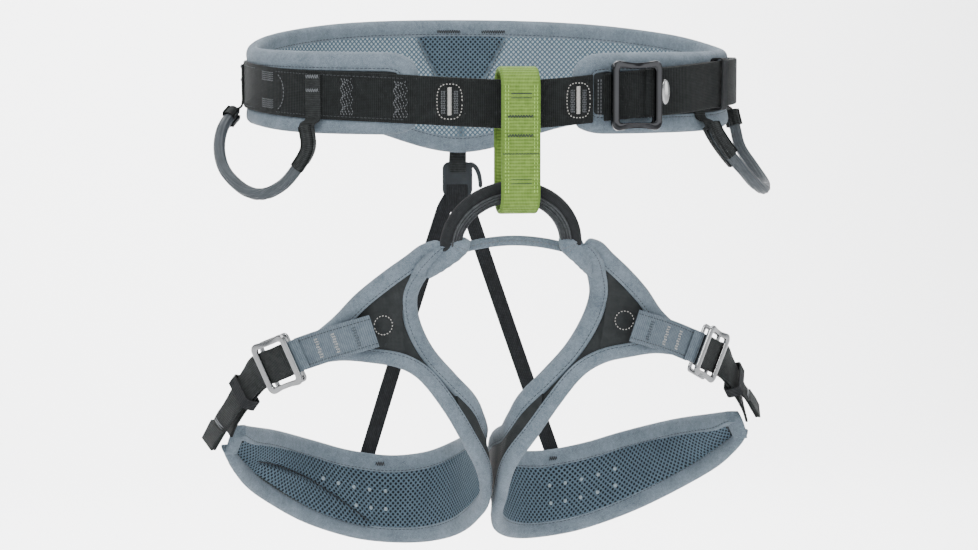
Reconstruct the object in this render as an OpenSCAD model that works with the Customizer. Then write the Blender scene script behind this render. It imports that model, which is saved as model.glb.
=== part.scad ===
/* [Waist belt] */
// Half of the belt's width, side to side, to the padding's outer face
waist_half_w = 149; // [130:1:175]
// Half of the belt's depth, front to back, to the padding's outer face
waist_half_d = 105; // [90:1:125]
// Thickness of the belt's foam
belt_foam_t = 5; // [3:0.5:8]
// Width of the edge tape round the belt's padding
belt_tape_w = 11; // [8:0.5:13]
// Angle left open at the front, from the centre to the padding's left end
open_left = 24; // [15:1:40]
// Angle left open at the front, from the centre to the padding's right end
open_right = 12; // [8:1:16]

/* [Waist webbing] */
// Height of the load-bearing waist webbing
waist_web_w = 28; // [20:0.5:32]
// Thickness of the waist webbing
waist_web_t = 2; // [1.5:0.1:2.6]
// Width of the waist buckle's front frame, along the belt
waist_buckle_w = 34; // [30:1:40]
// Height of the waist buckle's window beyond the webbing, both sides together
waist_buckle_play = 4; // [3:0.5:6]

/* [Belay loop] */
// Width of the belay loop's webbing
loop_w = 23; // [18:0.5:28]
// Thickness of the belay loop's wall
loop_t = 3; // [2:0.1:3.5]
// Length of the belay loop outside
loop_len = 85; // [80:1:100]
// Depth of the belay loop outside, front to back
loop_depth = 25; // [23:0.5:30]
// Thickness of the bridge between the leg loops
bridge_d = 12; // [9:0.5:13]

/* [Leg loops] */
// Furthest reach of a leg loop from the middle of the harness
leg_reach = 163; // [145:1:185]
// Depth of a leg loop, front to back
leg_depth = 180; // [160:1:200]
// Height from the bridge's feet to the lowest point of the leg loops
leg_drop = 198; // [175:1:220]
// Thickness of the leg loops' foam
leg_foam_t = 4; // [3:0.5:6]
// Width of the tape on the leg loops' upper and inner edge
leg_tape_w = 11.5; // [9:0.5:13]
// Width of the tape on the leg loops' lower edge
leg_low_tape_w = 9.5; // [8:0.5:11]
// Width of the leg adjustment webbing
leg_web_w = 20; // [15:0.5:22]

/* [Gear loops and rear straps] */
// Diameter of the moulded gear loops
gear_d = 7.5; // [6:0.5:10]
// Width of the rear elastic straps
elastic_w = 10; // [8:0.5:12]

/* [Hidden] */
$fn = 48;
gap = 0.3;           // clearance between layers that lie on each other
skin_t = 0.8;        // lining and cover fabric
slide_gap = 0.5;     // clearance between a keeper and its webbing
keeper_t = 1.2;      // wall of an elastic keeper
arc_steps = 72;      // rings round the belt
leg_steps = 44;      // rings round a leg loop

// Every sub-part

// ---------- Curves and solids that everything shares ----------

function unit(v) = v / norm(v);

// Smooth curve through a list, s from 0 at its first entry to len - 1 at its last
function spline(p, s) =
    let (n = len(p) - 1, i = max(0, min(floor(s), n - 1)), f = s - i,
        a = p[max(i - 1, 0)], b = p[i], c = p[i + 1], d = p[min(i + 2, n)])
    0.5 * (2 * b + (c - a) * f + (2 * a - 5 * b + 4 * c - d) * f * f
        + (3 * b - a - 3 * c + d) * f * f * f);

function along(p, s) = unit(spline(p, s + 0.02) - spline(p, s - 0.02));

function ramp(x, lo, hi) = let (k = max(0, min(1, (x - lo) / (hi - lo)))) k * k * (3 - 2 * k);

// Closed solid between two grids of points, each a list of equal rows
module slab(a, b, ring = false) {
    n = len(a);
    m = len(a[0]);
    mid = floor(n / 2);
    turn = cross(a[mid][0] - a[mid - 1][0], a[mid][m - 1] - a[mid][0]);
    right_way = turn * (b[mid][0] - a[mid][0]) > 0;
    rows = ring ? n : n - 1;
    ia = function (i, j) (i % n) * m + j;
    ib = function (i, j) n * m + (i % n) * m + j;
    top = [for (i = [0 : rows - 1], j = [0 : m - 2]) each [
        [ib(i, j), ib(i, j + 1), ib(i + 1, j + 1)], [ib(i, j), ib(i + 1, j + 1), ib(i + 1, j)]]];
    bottom = [for (i = [0 : rows - 1], j = [0 : m - 2]) each [
        [ia(i, j), ia(i + 1, j + 1), ia(i, j + 1)], [ia(i, j), ia(i + 1, j), ia(i + 1, j + 1)]]];
    low_side = [for (i = [0 : rows - 1]) each [
        [ia(i, 0), ib(i, 0), ib(i + 1, 0)], [ia(i, 0), ib(i + 1, 0), ia(i + 1, 0)]]];
    high_side = [for (i = [0 : rows - 1]) each [
        [ia(i, m - 1), ib(i + 1, m - 1), ib(i, m - 1)],
        [ia(i, m - 1), ia(i + 1, m - 1), ib(i + 1, m - 1)]]];
    ends = ring ? [] : [for (j = [0 : m - 2]) each [
        [ia(0, j + 1), ib(0, j + 1), ib(0, j)], [ia(0, j + 1), ib(0, j), ia(0, j)],
        [ia(n - 1, j), ib(n - 1, j), ib(n - 1, j + 1)],
        [ia(n - 1, j), ib(n - 1, j + 1), ia(n - 1, j + 1)]]];
    faces = concat(top, bottom, low_side, high_side, ends);
    polyhedron(concat([for (r = a) each r], [for (r = b) each r]),
        right_way ? faces : [for (f = faces) [f[0], f[2], f[1]]]);
}

// Round tube along a list of points; side is a direction that the path never runs along
module tube(path, d, side, sides = 10) {
    n = len(path);
    ring = [for (i = [0 : n - 1])
        let (t = unit(path[min(i + 1, n - 1)] - path[max(i - 1, 0)]),
            x = unit(cross(side, t)), y = cross(t, x))
        each [for (k = [0 : sides - 1])
            path[i] + d / 2 * (x * cos(360 * k / sides) + y * sin(360 * k / sides))]];
    walls = [for (i = [0 : n - 2], k = [0 : sides - 1])
        let (q = (k + 1) % sides)
        each [[i * sides + k, (i + 1) * sides + k, (i + 1) * sides + q],
            [i * sides + k, (i + 1) * sides + q, i * sides + q]]];
    start = [for (k = [0 : sides - 1]) k];
    finish = [for (k = [sides - 1 : -1 : 0]) (n - 1) * sides + k];
    polyhedron(ring, concat(walls, [start, finish]));
}

// Flat webbing along a path: out gives the way that its face looks at a point
module ribbon(path, w, t0, t1, out, steps) {
    rows = [for (i = [0 : steps])
        let (s = i / steps * (len(path) - 1), p = spline(path, s), n = out(p),
            q = unit(cross(n, along(path, s))))
        [p - q * w / 2, n, p + q * w / 2]];
    slab([for (r = rows) [r[0] + r[1] * t0, r[2] + r[1] * t0]],
        [for (r = rows) [r[0] + r[1] * t1, r[2] + r[1] * t1]]);
}

// Open rectangular frame of flat bars, its window w by h, centred, lying in X and Y
module frame_ring(w, h, bar, t, r) {
    linear_extrude(t, center = true) difference() {
        offset(r) square([w + 2 * bar - 2 * r, h + 2 * bar - 2 * r], center = true);
        square([w, h], center = true);
    }
}

// ---------- The belt ----------
// Angle a runs clockwise seen from above: 0 front centre, 90 left, 180 back, 270 right.
// Height z is above the middle of the waist, and out is the distance from the padding's face.

belt_start = open_left;
belt_end = 360 - open_right;
belt_top = [17, 17, 18, 21, 30, 37, 39, 37, 30, 21, 18, 17, 16];
belt_low = [-30, -30.5, -29.5, -25.5, -25, -30, -48, -30, -25, -25.5, -29.5, -30.5, -30];
web_mid = [-13, -9.5, -6.5, -2, -0.5, 0, 0, 0, 0.5, 0.5, -1.5, -6.5, -13];
end_round = 8; // angle over which the padding's corners round off
end_share = 0.6; // height left at the very end of the padding

belt_crown = 3; // how far the padding's top edge leans in
belt_flare = 4; // how far its lower edge leans out at the hips
flat_half = 16; // height each way from the webbing's middle that stays upright

function belt_normal(a) = unit([-sin(a) / waist_half_w, -cos(a) / waist_half_d, 0]);
function webbing_z(a) = spline(web_mid, (a + 360) % 360 / 30);
function lean(a, z) =
    let (h = z - webbing_z(a), k = min(1, max(0, abs(h) - flat_half) / flat_half))
    k * k * (h > 0 ? -belt_crown : belt_flare * pow(sin(a), 2));
function belt_point(a, z, out = 0) =
    [-waist_half_w * sin(a), -waist_half_d * cos(a), z] + (out + lean(a, z)) * belt_normal(a);
function belt_angle(i, lo, hi, steps) = lo + (hi - lo) * i / steps;

function end_factor(a) =
    let (s = min(a - belt_start, belt_end - a, end_round) / end_round, k = 1 - max(s, 0))
    end_share + (1 - end_share) * sqrt(1 - k * k);
function top_z(a) = let (m = webbing_z(a)) m + (spline(belt_top, a / 30) - m) * end_factor(a);
function low_z(a) = let (m = webbing_z(a)) m + (spline(belt_low, a / 30) - m) * end_factor(a);

belt_trim = 5; // angle of padding that the tape covers at each end

// Layer of the padding inside the edge tape
module belt_layer(t0, t1) {
    columns = 4;
    grid = function (t) [for (i = [0 : arc_steps])
        let (a = belt_angle(i, belt_start + belt_trim, belt_end - belt_trim, arc_steps),
            zt = top_z(a) - belt_tape_w - gap, zb = low_z(a) + belt_tape_w + gap)
        [for (j = [0 : columns]) belt_point(a, zb + (zt - zb) * j / columns, t)]];
    slab(grid(t0), grid(t1));
}

pad_t = belt_foam_t + 2 * (skin_t + gap);

module waist_foam() {
    color("dimgray") belt_layer(-pad_t + skin_t + gap, -skin_t - gap);
}

module waist_lining() {
    color([0.37, 0.47, 0.53]) belt_layer(-pad_t, -pad_t + skin_t);
}

module waist_cover() {
    color([0.2, 0.22, 0.23]) belt_layer(-skin_t, 0);
}

// The tape runs round the whole padding as one ring, over both faces
module waist_edge_tape() {
    end_w = belt_trim - gap / 2;
    // Inner border: upright at each end, drawn in a little so that its corners stay separate
    inner = function (a, z, way)
        let (past = max(0, belt_start + end_w - a, a - belt_end + end_w) / end_w,
            b = max(belt_start + end_w, min(belt_end - end_w, a)))
        [b + (b < 180 ? -0.4 : 0.4) * past, z(b) - way * (belt_tape_w + 1.2 * past)];
    upper = [for (i = [0 : arc_steps]) let (a = belt_angle(i, belt_start, belt_end, arc_steps))
        [[a, top_z(a)], inner(a, function (b) top_z(b), 1)]];
    lower = [for (i = [arc_steps : -1 : 0]) let (a = belt_angle(i, belt_start, belt_end, arc_steps))
        [[a, low_z(a)], inner(a, function (b) low_z(b), -1)]];
    outline = concat(upper, lower);
    grid = function (t) [for (r = outline) [for (q = r) belt_point(q[0], q[1], t)]];
    color([0.51, 0.57, 0.62]) slab(grid(-pad_t), grid(0), ring = true);
}

// How far the waist webbing stands off the padding: it is free at the right front
function web_out(a) = gap + 1.9 * ramp(a, 246, 262);

module belt_webbing(a0, a1, t0, t1, h, steps) {
    grid = function (t) [for (i = [0 : steps])
        let (a = belt_angle(i, a0, a1, steps), z = webbing_z(a))
        [belt_point(a, z - h / 2, t(a)), belt_point(a, z + h / 2, t(a))]];
    slab(grid(t0), grid(t1));
}

buckle_angle = -25; // place of the waist buckle, right of the front centre
buckle_half_angle = 8.5; // from the buckle's middle to where the webbing turns

module waist_webbing() {
    color([0.17, 0.19, 0.19])
        belt_webbing(buckle_angle + buckle_half_angle + 0.5, 360 + buckle_angle - 3,
            function (a) web_out(a), function (a) web_out(a) + waist_web_t, waist_web_w, arc_steps);
}

// Second layer of webbing behind the tie-in point
module tie_in_facing() {
    color([0.13, 0.14, 0.14])
        belt_webbing(-open_right + 1.5, open_left - 1.5, function (a) -waist_web_t - gap,
            function (a) -gap, waist_web_w - 1, 12);
}

tail_far = 264; // angle of the folded end of the strap's tail
keeper_angle = 302;
keeper_len = 7;
keeper_room = 2 * waist_web_t + 1.4; // height inside the keeper
function tail_out(a) = web_out(a) + waist_web_t + gap + 0.6 * ramp(a, 280, 296)
    + 3.3 * ramp(a, 308, 322);

module waist_strap_tail() {
    color([0.17, 0.19, 0.19]) {
        belt_webbing(tail_far, 360 + buckle_angle - 3, function (a) tail_out(a),
            function (a) tail_out(a) + waist_web_t * (2 - ramp(a, 271, 272)), waist_web_w, 36);
    }
}

// Places what follows flat against the belt at angle a: X along it to the right, Y up, Z out
module on_belt(a, z, out) {
    p = belt_point(a, z, out);
    n = belt_normal(a);
    translate(p) rotate([90, 0, atan2(n[1], n[0]) + 90]) children();
}

module waist_keeper() {
    room = waist_web_w + 2 * slide_gap;
    depth = keeper_room + 2 * slide_gap;
    color([0.1, 0.1, 0.1])
        on_belt(keeper_angle, webbing_z(keeper_angle),
            web_out(keeper_angle) - slide_gap + depth / 2)
        rotate([0, 90, 0]) linear_extrude(keeper_len, center = true)
            difference() {
                square([depth + 2 * keeper_t, room + 2 * keeper_t], center = true);
                square([depth, room], center = true);
            }
}

buckle_bar = 4.5;
buckle_z = -8;
base_out = web_out(360 + buckle_angle) + waist_web_t + gap; // back of the base frame
base_t = 2.2;
frame_t = 3;
frame_out = base_out + base_t + waist_web_t + 7 * gap; // back of the front frame
window_h = waist_web_w + waist_buckle_play;

module waist_buckle_base() {
    color([0.3, 0.31, 0.33])
        on_belt(360 + buckle_angle, buckle_z, base_out + base_t / 2) translate([2.5, 0, 0])
        frame_ring(waist_buckle_w - 2 * buckle_bar, window_h, buckle_bar - 1, base_t, 2);
}

module waist_buckle_frame() {
    color([0.22, 0.23, 0.25])
        on_belt(360 + buckle_angle, buckle_z, frame_out + frame_t / 2)
        frame_ring(waist_buckle_w - 2 * buckle_bar, window_h, buckle_bar, frame_t, 3);
}

// Oval thumb lug on the front frame's free side
module waist_buckle_lug() {
    lug_r = 2.6;
    color([0.75, 0.76, 0.76])
        on_belt(360 + buckle_angle, buckle_z + 2, frame_out + frame_t / 2)
        translate([waist_buckle_w / 2 + gap + lug_r, 0, 0])
        linear_extrude(frame_t - 1, center = true) hull() {
            translate([0, 5]) circle(lug_r, $fn = 32);
            translate([0, -5]) circle(lug_r, $fn = 32);
        }
}

// ---------- Gear loops ----------
// Ends, and the route of each as seen from the belt's left. The left one hangs, and the right one
// stands off to its side.

gear_front = [-122, -70, -26];
gear_rear = [-157, 5, -19];
gear_route_left = [gear_front, [-121, -72, -38], [-126, -66, -49], [-134, -58, -60], [-145, -50, -66],
    [-155, -40, -64], [-165, -28, -54], [-168, -18, -41], [-165, -8, -28], gear_rear];
gear_route_right = [gear_front, [-125, -73, -33], [-132, -74, -43], [-142, -70, -53], [-153, -60, -62],
    [-163, -46, -66], [-168, -30, -63], [-166, -15, -54], [-161, -3, -42], [-159, 2, -30], gear_rear];

// Keeps the loop's attachments at the belt's side when the belt's size changes
function gear_place(p) = [p[0] * waist_half_w / 149, p[1] * waist_half_d / 105, p[2]];

module gear_loop(route) {
    steps = 30;
    last = len(route) - 1;
    color([0.42, 0.46, 0.5])
        tube([for (i = [0 : steps]) gear_place(spline(route, last * i / steps))], gear_d,
            [0.94, -0.34, 0]);
}

module gear_loop_left() {
    gear_loop(gear_route_left);
}

module gear_loop_right() {
    mirror([1, 0, 0]) gear_loop(gear_route_right);
}

// Webbing tabs, sewn over the waist webbing, that carry a gear loop's two ends
module gear_tabs(out) {
    tab_w = 11;
    tab_t = 1.2;
    color([0.13, 0.14, 0.14]) for (p = [gear_front, gear_rear]) {
        a = atan2(-p[0] / 149, -p[1] / 105);
        z1 = p[2] + 4;
        z2 = webbing_z(a) + waist_web_w / 2 - 2;
        on_belt(a, (z1 + z2) / 2, out + tab_t / 2) cube([tab_w, z2 - z1, tab_t], center = true);
    }
}

module gear_tabs_left() {
    gear_tabs(3 * gap + waist_web_t);
}

// On the right they lie under the webbing, which slides
module gear_tabs_right() {
    mirror([1, 0, 0]) gear_tabs(gap);
}

// ---------- Rear tab, hook and elastic straps ----------

rear_y = waist_half_d + 2.5;
tab_top = -44;
hook_z = -66;

module rear_tab() {
    color([0.13, 0.14, 0.14]) translate([0, rear_y, (tab_top - 62) / 2])
        cube([12, 1.6, tab_top + 62], center = true);
}

// Flat moulded hook: a plate with a slot for the tab and a free finger beside it
module rear_hook() {
    color([0.3, 0.33, 0.36]) translate([0, rear_y + 2.5, hook_z]) rotate([90, 0, 0])
        linear_extrude(2.4, center = true) difference() {
            union() {
                hull() for (x = [-6.5, 6.5], z = [-8, 8]) translate([x, z]) circle(3, $fn = 32);
                hull() {
                    translate([8, 9]) circle(2, $fn = 32);
                    translate([14, 1]) circle(1.8, $fn = 32);
                }
                hull() {
                    translate([14, 1]) circle(1.8, $fn = 32);
                    translate([15.5, -6]) circle(1.6, $fn = 32);
                }
            }
            translate([0, 6]) square([11, 3], center = true);
            translate([0, -5]) square([13, 3], center = true);
        }
}

strap_foot = leg_place([61, 86, -243]);

module rear_strap(side) {
    top = [side * 5.4 - 1, rear_y + 2.5, hook_z - 13];
    foot = [side * strap_foot[0] - 3, strap_foot[1], strap_foot[2]];
    color([0.12, 0.12, 0.12])
        ribbon([top, top + (foot - top) * 0.33 + [0, 2, 0], top + (foot - top) * 0.66 + [0, 2, 0],
            foot], elastic_w, -0.7, 0.7, function (p) [0, 1, 0], 10);
}

module rear_strap_left() {
    rear_strap(-1);
}

module rear_strap_right() {
    rear_strap(1);
}

// ---------- Belay loop and bridge ----------

loop_x = -4; // where the belay loop hangs on the bridge
loop_top = 9;
loop_y = -waist_half_d - 0.5;
loop_low = loop_top - loop_len;

module belay_loop() {
    color([0.59, 0.75, 0.39]) translate([loop_x, loop_y, 0]) rotate([90, 0, 90])
        linear_extrude(loop_w, center = true) difference() {
            hull() {
                translate([0, loop_top - loop_depth / 2]) circle(loop_depth / 2);
                translate([0, loop_low + loop_depth / 2]) circle(loop_depth / 2);
            }
            hull() {
                translate([0, loop_top - loop_depth / 2]) circle(loop_depth / 2 - loop_t);
                translate([0, loop_low + loop_depth / 2]) circle(loop_depth / 2 - loop_t);
            }
        }
}

bridge_rise = 3.2; // room under the bridge in the loop, because the bridge is curved
bridge_top = loop_low + loop_t + gap + bridge_d + bridge_rise; // its highest point
bridge_foot = leg_place([35.5, -97, -95]);

// Point at angle k round the arch, out from its middle line
function bridge_point(k, out) =
    let (c = cos(k), s = sin(k))
    seat([(bridge_foot[0] + out) * c - 2, bridge_foot[1] + (loop_y - bridge_foot[1]) * s,
        bridge_foot[2] + (bridge_top - bridge_d / 2 - bridge_foot[2] + out) * s], 1);
bridge_steps = 24;
bridge_tube_d = bridge_d / 2;

module bridge_tube(out) {
    tube([for (i = [0 : bridge_steps]) bridge_point(180 * i / bridge_steps, out)],
        bridge_tube_d, [0, 1, 0]);
}

// The bridge is a folded webbing with a tubular sleeve lying along its upper side
module bridge_webbing() {
    color([0.2, 0.21, 0.22]) bridge_tube(-(bridge_tube_d + gap) / 2);
}

module bridge_sleeve() {
    color([0.14, 0.14, 0.15]) bridge_tube((bridge_tube_d + gap) / 2);
}

module cross_strip() {
    foot = leg_place([36, -91, -98]);
    dip = leg_place([0, -91, -92.5]);
    color([0.51, 0.57, 0.62])
        ribbon([seat(foot, -1), seat([foot[0] / 2, dip[1], dip[2] - 1.5], -1), seat(dip, 1),
            seat([foot[0] / 2, dip[1], dip[2] - 1.5], 1), seat(foot, 1)], 6, -1, 1,
            function (p) [0, -1, 0], 16);
}

// ---------- Leg loops ----------
// Routes are those of the right leg loop, from its rear outer end, round the back and the
// crotch, to the front. The left leg loop is the mirror image.

upper_edge = [[160, -7, -209], [150, 10, -213], [131, 38, -220], [104, 66, -231], [78, 78, -240],
    [50, 82, -245], [27, 73, -242], [12, 54, -233], [4.5, 15, -220], [4, -18, -211],
    [6, -36, -202], [12, -46, -189], [25, -51, -175], [39, -55, -159], [48, -61, -142],
    [51, -69, -127], [47, -80, -114], [41, -93, -103]];
lower_edge = [[166, -9, -227], [158, 8, -244], [145, 32, -260], [114, 60, -282], [80, 72, -296],
    [52, 73, -301], [27, 60, -299], [10, 36, -290], [3.5, 5, -275], [3, -18, -261],
    [8, -40, -238], [21, -56, -215], [34, -62, -195], [48, -64, -178], [62, -66, -169.5],
    [80, -66, -166], [96, -61, -165], [110, -55, -167]];
outer_edge = [[53, -94, -94], [62, -87, -101.5], [75, -78, -112], [89, -67, -125], [101, -57, -139]];
leg_middle = [84, 4, 0]; // axis that the leg loop's faces look away from
leg_size = [82, 78];
band_end = 11.4; // where the padded band narrows into the edge tapes
outer_tape_w = 10;
panel_t = 3; // depth of the front panel's inner face

// Fits the routes to the leg loop's size and to the belt's front
function leg_place(p) = [p[0] * leg_reach / 163,
    (p[1] + 98) * leg_depth / 180 + 7 - waist_half_d, (p[2] + 103) * leg_drop / 198 - 103];
function placed(list) = [for (p = list) leg_place(p)];

// A point of the right leg loop's design, on the side asked for (1 right, -1 left). The fronts
// of both leg loops hang under the belay loop, a little left of the belt's middle.
function seat(p, side) = [side * p[0] + loop_x * ramp(-p[1], 10, 50), p[1], p[2]];

module leg_slab(a, b, side) {
    slab([for (r = a) [for (p = r) seat(p, side)]], [for (r = b) [for (p = r) seat(p, side)]]);
}

// Puts a rigid piece of the right leg loop, modelled round the origin, at p on either side
module leg_seat(p, side) {
    translate(seat(p, side)) mirror([side < 0 ? 1 : 0, 0, 0]) children();
}

// Euler angles that turn X, Y and Z onto three unit vectors
function turn_to(x, y, z) = [atan2(y[2], z[2]), -asin(x[2]), atan2(x[1], x[0])];

// Way that the leg loop's outer face looks at p
function leg_out(p) =
    let (m = leg_place(leg_middle))
    unit([(p[0] - m[0]) / pow(leg_size[0], 2), (p[1] - m[1]) / pow(leg_size[1], 2), 0]);

leg_t = leg_foam_t + 2 * (skin_t + gap);
upper = placed(upper_edge);
lower = placed(lower_edge);
outer = placed(outer_edge);

// Inner border of a tape of width w that follows an edge; side is 1 or -1
function tape_inner(edge, s, w, side) =
    let (p = spline(edge, s)) p + side * w * unit(cross(leg_out(p), along(edge, s)));
// The tapes are a little narrower at the loop's short rear end
function upper_w(s) = leg_tape_w - 4 * (1 - ramp(s, 0, 1));
function lower_w(s) = leg_low_tape_w + 1.5 - 3 * (1 - ramp(s, 0, 1)) - 2.2 * ramp(s, 9, 12);

module edge_tape(edge, w, way, s0, s1, steps, side) {
    rows = [for (i = [0 : steps]) let (s = s0 + (s1 - s0) * i / steps, p = spline(edge, s))
        [p, tape_inner(edge, s, w(s), way), leg_out(p)]];
    color([0.51, 0.57, 0.62])
        leg_slab([for (r = rows) [r[0], r[1]]],
            [for (r = rows) [r[0] - leg_t * r[2], r[1] - leg_t * r[2]]], side);
}

module leg_upper_tape(side) {
    edge_tape(upper, function (s) upper_w(s), -1, 0, 17, 56, side);
}

module leg_lower_tape(side) {
    edge_tape(lower, function (s) lower_w(s), 1, 0, 17, 56, side);
}

module leg_outer_tape(side) {
    edge_tape(outer, function (s) outer_tape_w, -1, 1.3, 4, 12, side);
}

// A layer of the padded band, between the two tapes
module band_layer(t0, t1, side) {
    edge_gap = 0.5;
    columns = 2;
    rows = [for (i = [0 : leg_steps])
        let (s = 0.5 + (band_end - 0.5) * i / leg_steps,
            a = tape_inner(upper, s, upper_w(s) + edge_gap, -1),
            b = tape_inner(lower, s, lower_w(s) + edge_gap, 1))
        [a, b, leg_out((a + b) / 2)]];
    grid = function (t) [for (r = rows) [for (j = [0 : columns])
        r[0] + (r[1] - r[0]) * j / columns - t * r[2]]];
    leg_slab(grid(t0), grid(t1), side);
}

module leg_foam(side) {
    color("dimgray") band_layer(skin_t + gap, skin_t + gap + leg_foam_t, side);
}

module leg_cover(side) {
    color([0.12, 0.13, 0.13]) band_layer(0, skin_t, side);
}

module leg_lining(side) {
    color([0.37, 0.47, 0.53]) band_layer(leg_t - skin_t, leg_t, side);
}

// Black panel at the front of the thigh, between the three tapes
module leg_panel(side) {
    w1 = leg_tape_w + 1.3;
    w2 = leg_low_tape_w + 1.2;
    outer_side = concat([for (s = [1.6, 2.3, 3.1, 3.8]) tape_inner(outer, s, outer_tape_w + 0.8, -1)],
        [tape_inner(lower, 16.4, w2, 1)]);
    upper_side = [for (s = [15.9, 15.4, 14.9, 14.3, 13.8]) tape_inner(upper, s, w1, -1)];
    foot = [for (s = [14, 14.6, 15.2, 15.8, 16.4]) tape_inner(lower, s, w2, 1)];
    steps = 12;
    columns = 4;
    rows = [for (i = [0 : steps])
        let (k = i / steps, a = spline(outer_side, 4 * k), b = spline(upper_side, 4 * k))
        [for (j = [0 : columns])
            let (f = j / columns)
            b + (a - b) * f
                + k * k * (spline(foot, 4 * f) - upper_side[4] - (outer_side[4] - upper_side[4]) * f)]];
    color([0.15, 0.16, 0.16])
        leg_slab([for (r = rows) [for (p = r) p - leg_out(p)]],
            [for (r = rows) [for (p = r) p - panel_t * leg_out(p)]], side);
}

// ---------- Leg buckles and adjustment webbing ----------

// The buckle lies in a plane of its own: webbing along buckle_run, bars along buckle_up
buckle_centre = leg_place([129, -43, -166]);
buckle_run = unit([0.63, 0.69, -0.35]);
buckle_up = unit(cross(cross(buckle_run, [0.395, 0.12, 0.91]), buckle_run));
buckle_face = cross(buckle_run, buckle_up);
leg_window_w = leg_web_w + 5;
leg_window_l = 17;
leg_bar = 4;
leg_base_t = 1.8;
leg_frame_t = 2.6;
leg_frame_out = 7.5; // middle of the front frame, from the buckle's plane

module on_leg_buckle(side, out) {
    leg_seat(buckle_centre, side) rotate(turn_to(buckle_run, buckle_up, buckle_face))
        translate([0, 0, out]) children();
}

module leg_buckle_base(side) {
    color([0.72, 0.73, 0.74]) on_leg_buckle(side, leg_base_t)
        frame_ring(leg_window_l + 2, leg_window_w + 1, leg_bar - 1.2, leg_base_t, 1.5);
}

module leg_buckle_frame(side) {
    color([0.8, 0.81, 0.82]) on_leg_buckle(side, leg_frame_out)
        frame_ring(leg_window_l + 3, leg_window_w, leg_bar, leg_frame_t, 3);
}

// A point given in the buckle's own directions
function by_buckle(along_run, out) = buckle_centre + along_run * buckle_run + out * buckle_face;
// Way that the webbing's face looks: the buckle's near it, the leg loop's further off
function strap_face(p) =
    let (k = ramp(norm(p - buckle_centre), 14, 32)) unit(buckle_face * (1 - k) + leg_out(p) * k);

module leg_ribbon(route, t0, t1, side, steps, last) {
    rows = [for (i = [0 : steps])
        let (s = last * i / steps, p = spline(route, s), n = strap_face(p),
            q = unit(cross(n, along(route, s))) * leg_web_w / 2)
        [p - q, p + q, n]];
    leg_slab([for (r = rows) [r[0] + r[2] * t0, r[1] + r[2] * t0]],
        [for (r = rows) [r[0] + r[2] * t1, r[1] + r[2] * t1]], side);
}

// Grey webbing sewn on the panel, whose end holds the buckle
sleeve_route = concat(placed([[79, -70, -146], [94, -65, -151], [107, -57, -156]]),
    [by_buckle(-12.5, -3.7)]);

module leg_sleeve(side) {
    color([0.45, 0.5, 0.54]) leg_ribbon(sleeve_route, 1.2, 3.2, side, 10, 3);
}

strap_route = concat([by_buckle(-7, -0.9), by_buckle(8, -0.9), by_buckle(22, -1)],
    placed([[152, -18, -187], [160, -12, -201], [164, -9, -212]]));
tail_route = concat([by_buckle(-7, 4.6), by_buckle(8, 4.7), by_buckle(22, 3.8)],
    placed([[156, -19.5, -188.5], [166, -17.5, -203], [175, -15, -219]]));
// The right tail is pulled through less far than the left one
function tail_last(side) = side > 0 ? 4.3 : 5;

module leg_strap(side) {
    color([0.17, 0.19, 0.19]) leg_ribbon(strap_route, -0.9, 0.9, side, 20, 5);
}

module leg_strap_tail(side) {
    color([0.17, 0.19, 0.19]) leg_ribbon(tail_route, -0.9, 0.9, side, 20, tail_last(side));
}

// Elastic keeper round the leg strap and its tail
keeper_run = along(strap_route, 3);
keeper_middle = (spline(strap_route, 3) + spline(tail_route, 3)) / 2;
keeper_side = unit(cross(strap_face(keeper_middle), keeper_run));

module leg_keeper(side) {
    room = leg_web_w + 6 * slide_gap;
    depth = norm(spline(tail_route, 3) - spline(strap_route, 3)) + 6.8;
    color([0.1, 0.1, 0.1]) leg_seat(keeper_middle, side)
        rotate(turn_to(cross(keeper_side, keeper_run), keeper_side, keeper_run))
        linear_extrude(keeper_len, center = true) difference() {
            square([depth + 2 * keeper_t, room + 2 * keeper_t], center = true);
            square([depth, room], center = true);
        }
}

module leg_foam_left() { leg_foam(-1); }
module leg_foam_right() { leg_foam(1); }
module leg_lining_left() { leg_lining(-1); }
module leg_lining_right() { leg_lining(1); }
module leg_cover_left() { leg_cover(-1); }
module leg_cover_right() { leg_cover(1); }
module leg_panel_left() { leg_panel(-1); }
module leg_panel_right() { leg_panel(1); }
module leg_upper_tape_left() { leg_upper_tape(-1); }
module leg_upper_tape_right() { leg_upper_tape(1); }
module leg_lower_tape_left() { leg_lower_tape(-1); }
module leg_lower_tape_right() { leg_lower_tape(1); }
module leg_outer_tape_left() { leg_outer_tape(-1); }
module leg_outer_tape_right() { leg_outer_tape(1); }
module leg_sleeve_left() { leg_sleeve(-1); }
module leg_sleeve_right() { leg_sleeve(1); }
module leg_strap_left() { leg_strap(-1); }
module leg_strap_right() { leg_strap(1); }
module leg_strap_tail_left() { leg_strap_tail(-1); }
module leg_strap_tail_right() { leg_strap_tail(1); }
module leg_keeper_left() { leg_keeper(-1); }
module leg_keeper_right() { leg_keeper(1); }
module leg_buckle_base_left() { leg_buckle_base(-1); }
module leg_buckle_base_right() { leg_buckle_base(1); }
module leg_buckle_frame_left() { leg_buckle_frame(-1); }
module leg_buckle_frame_right() { leg_buckle_frame(1); }

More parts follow.
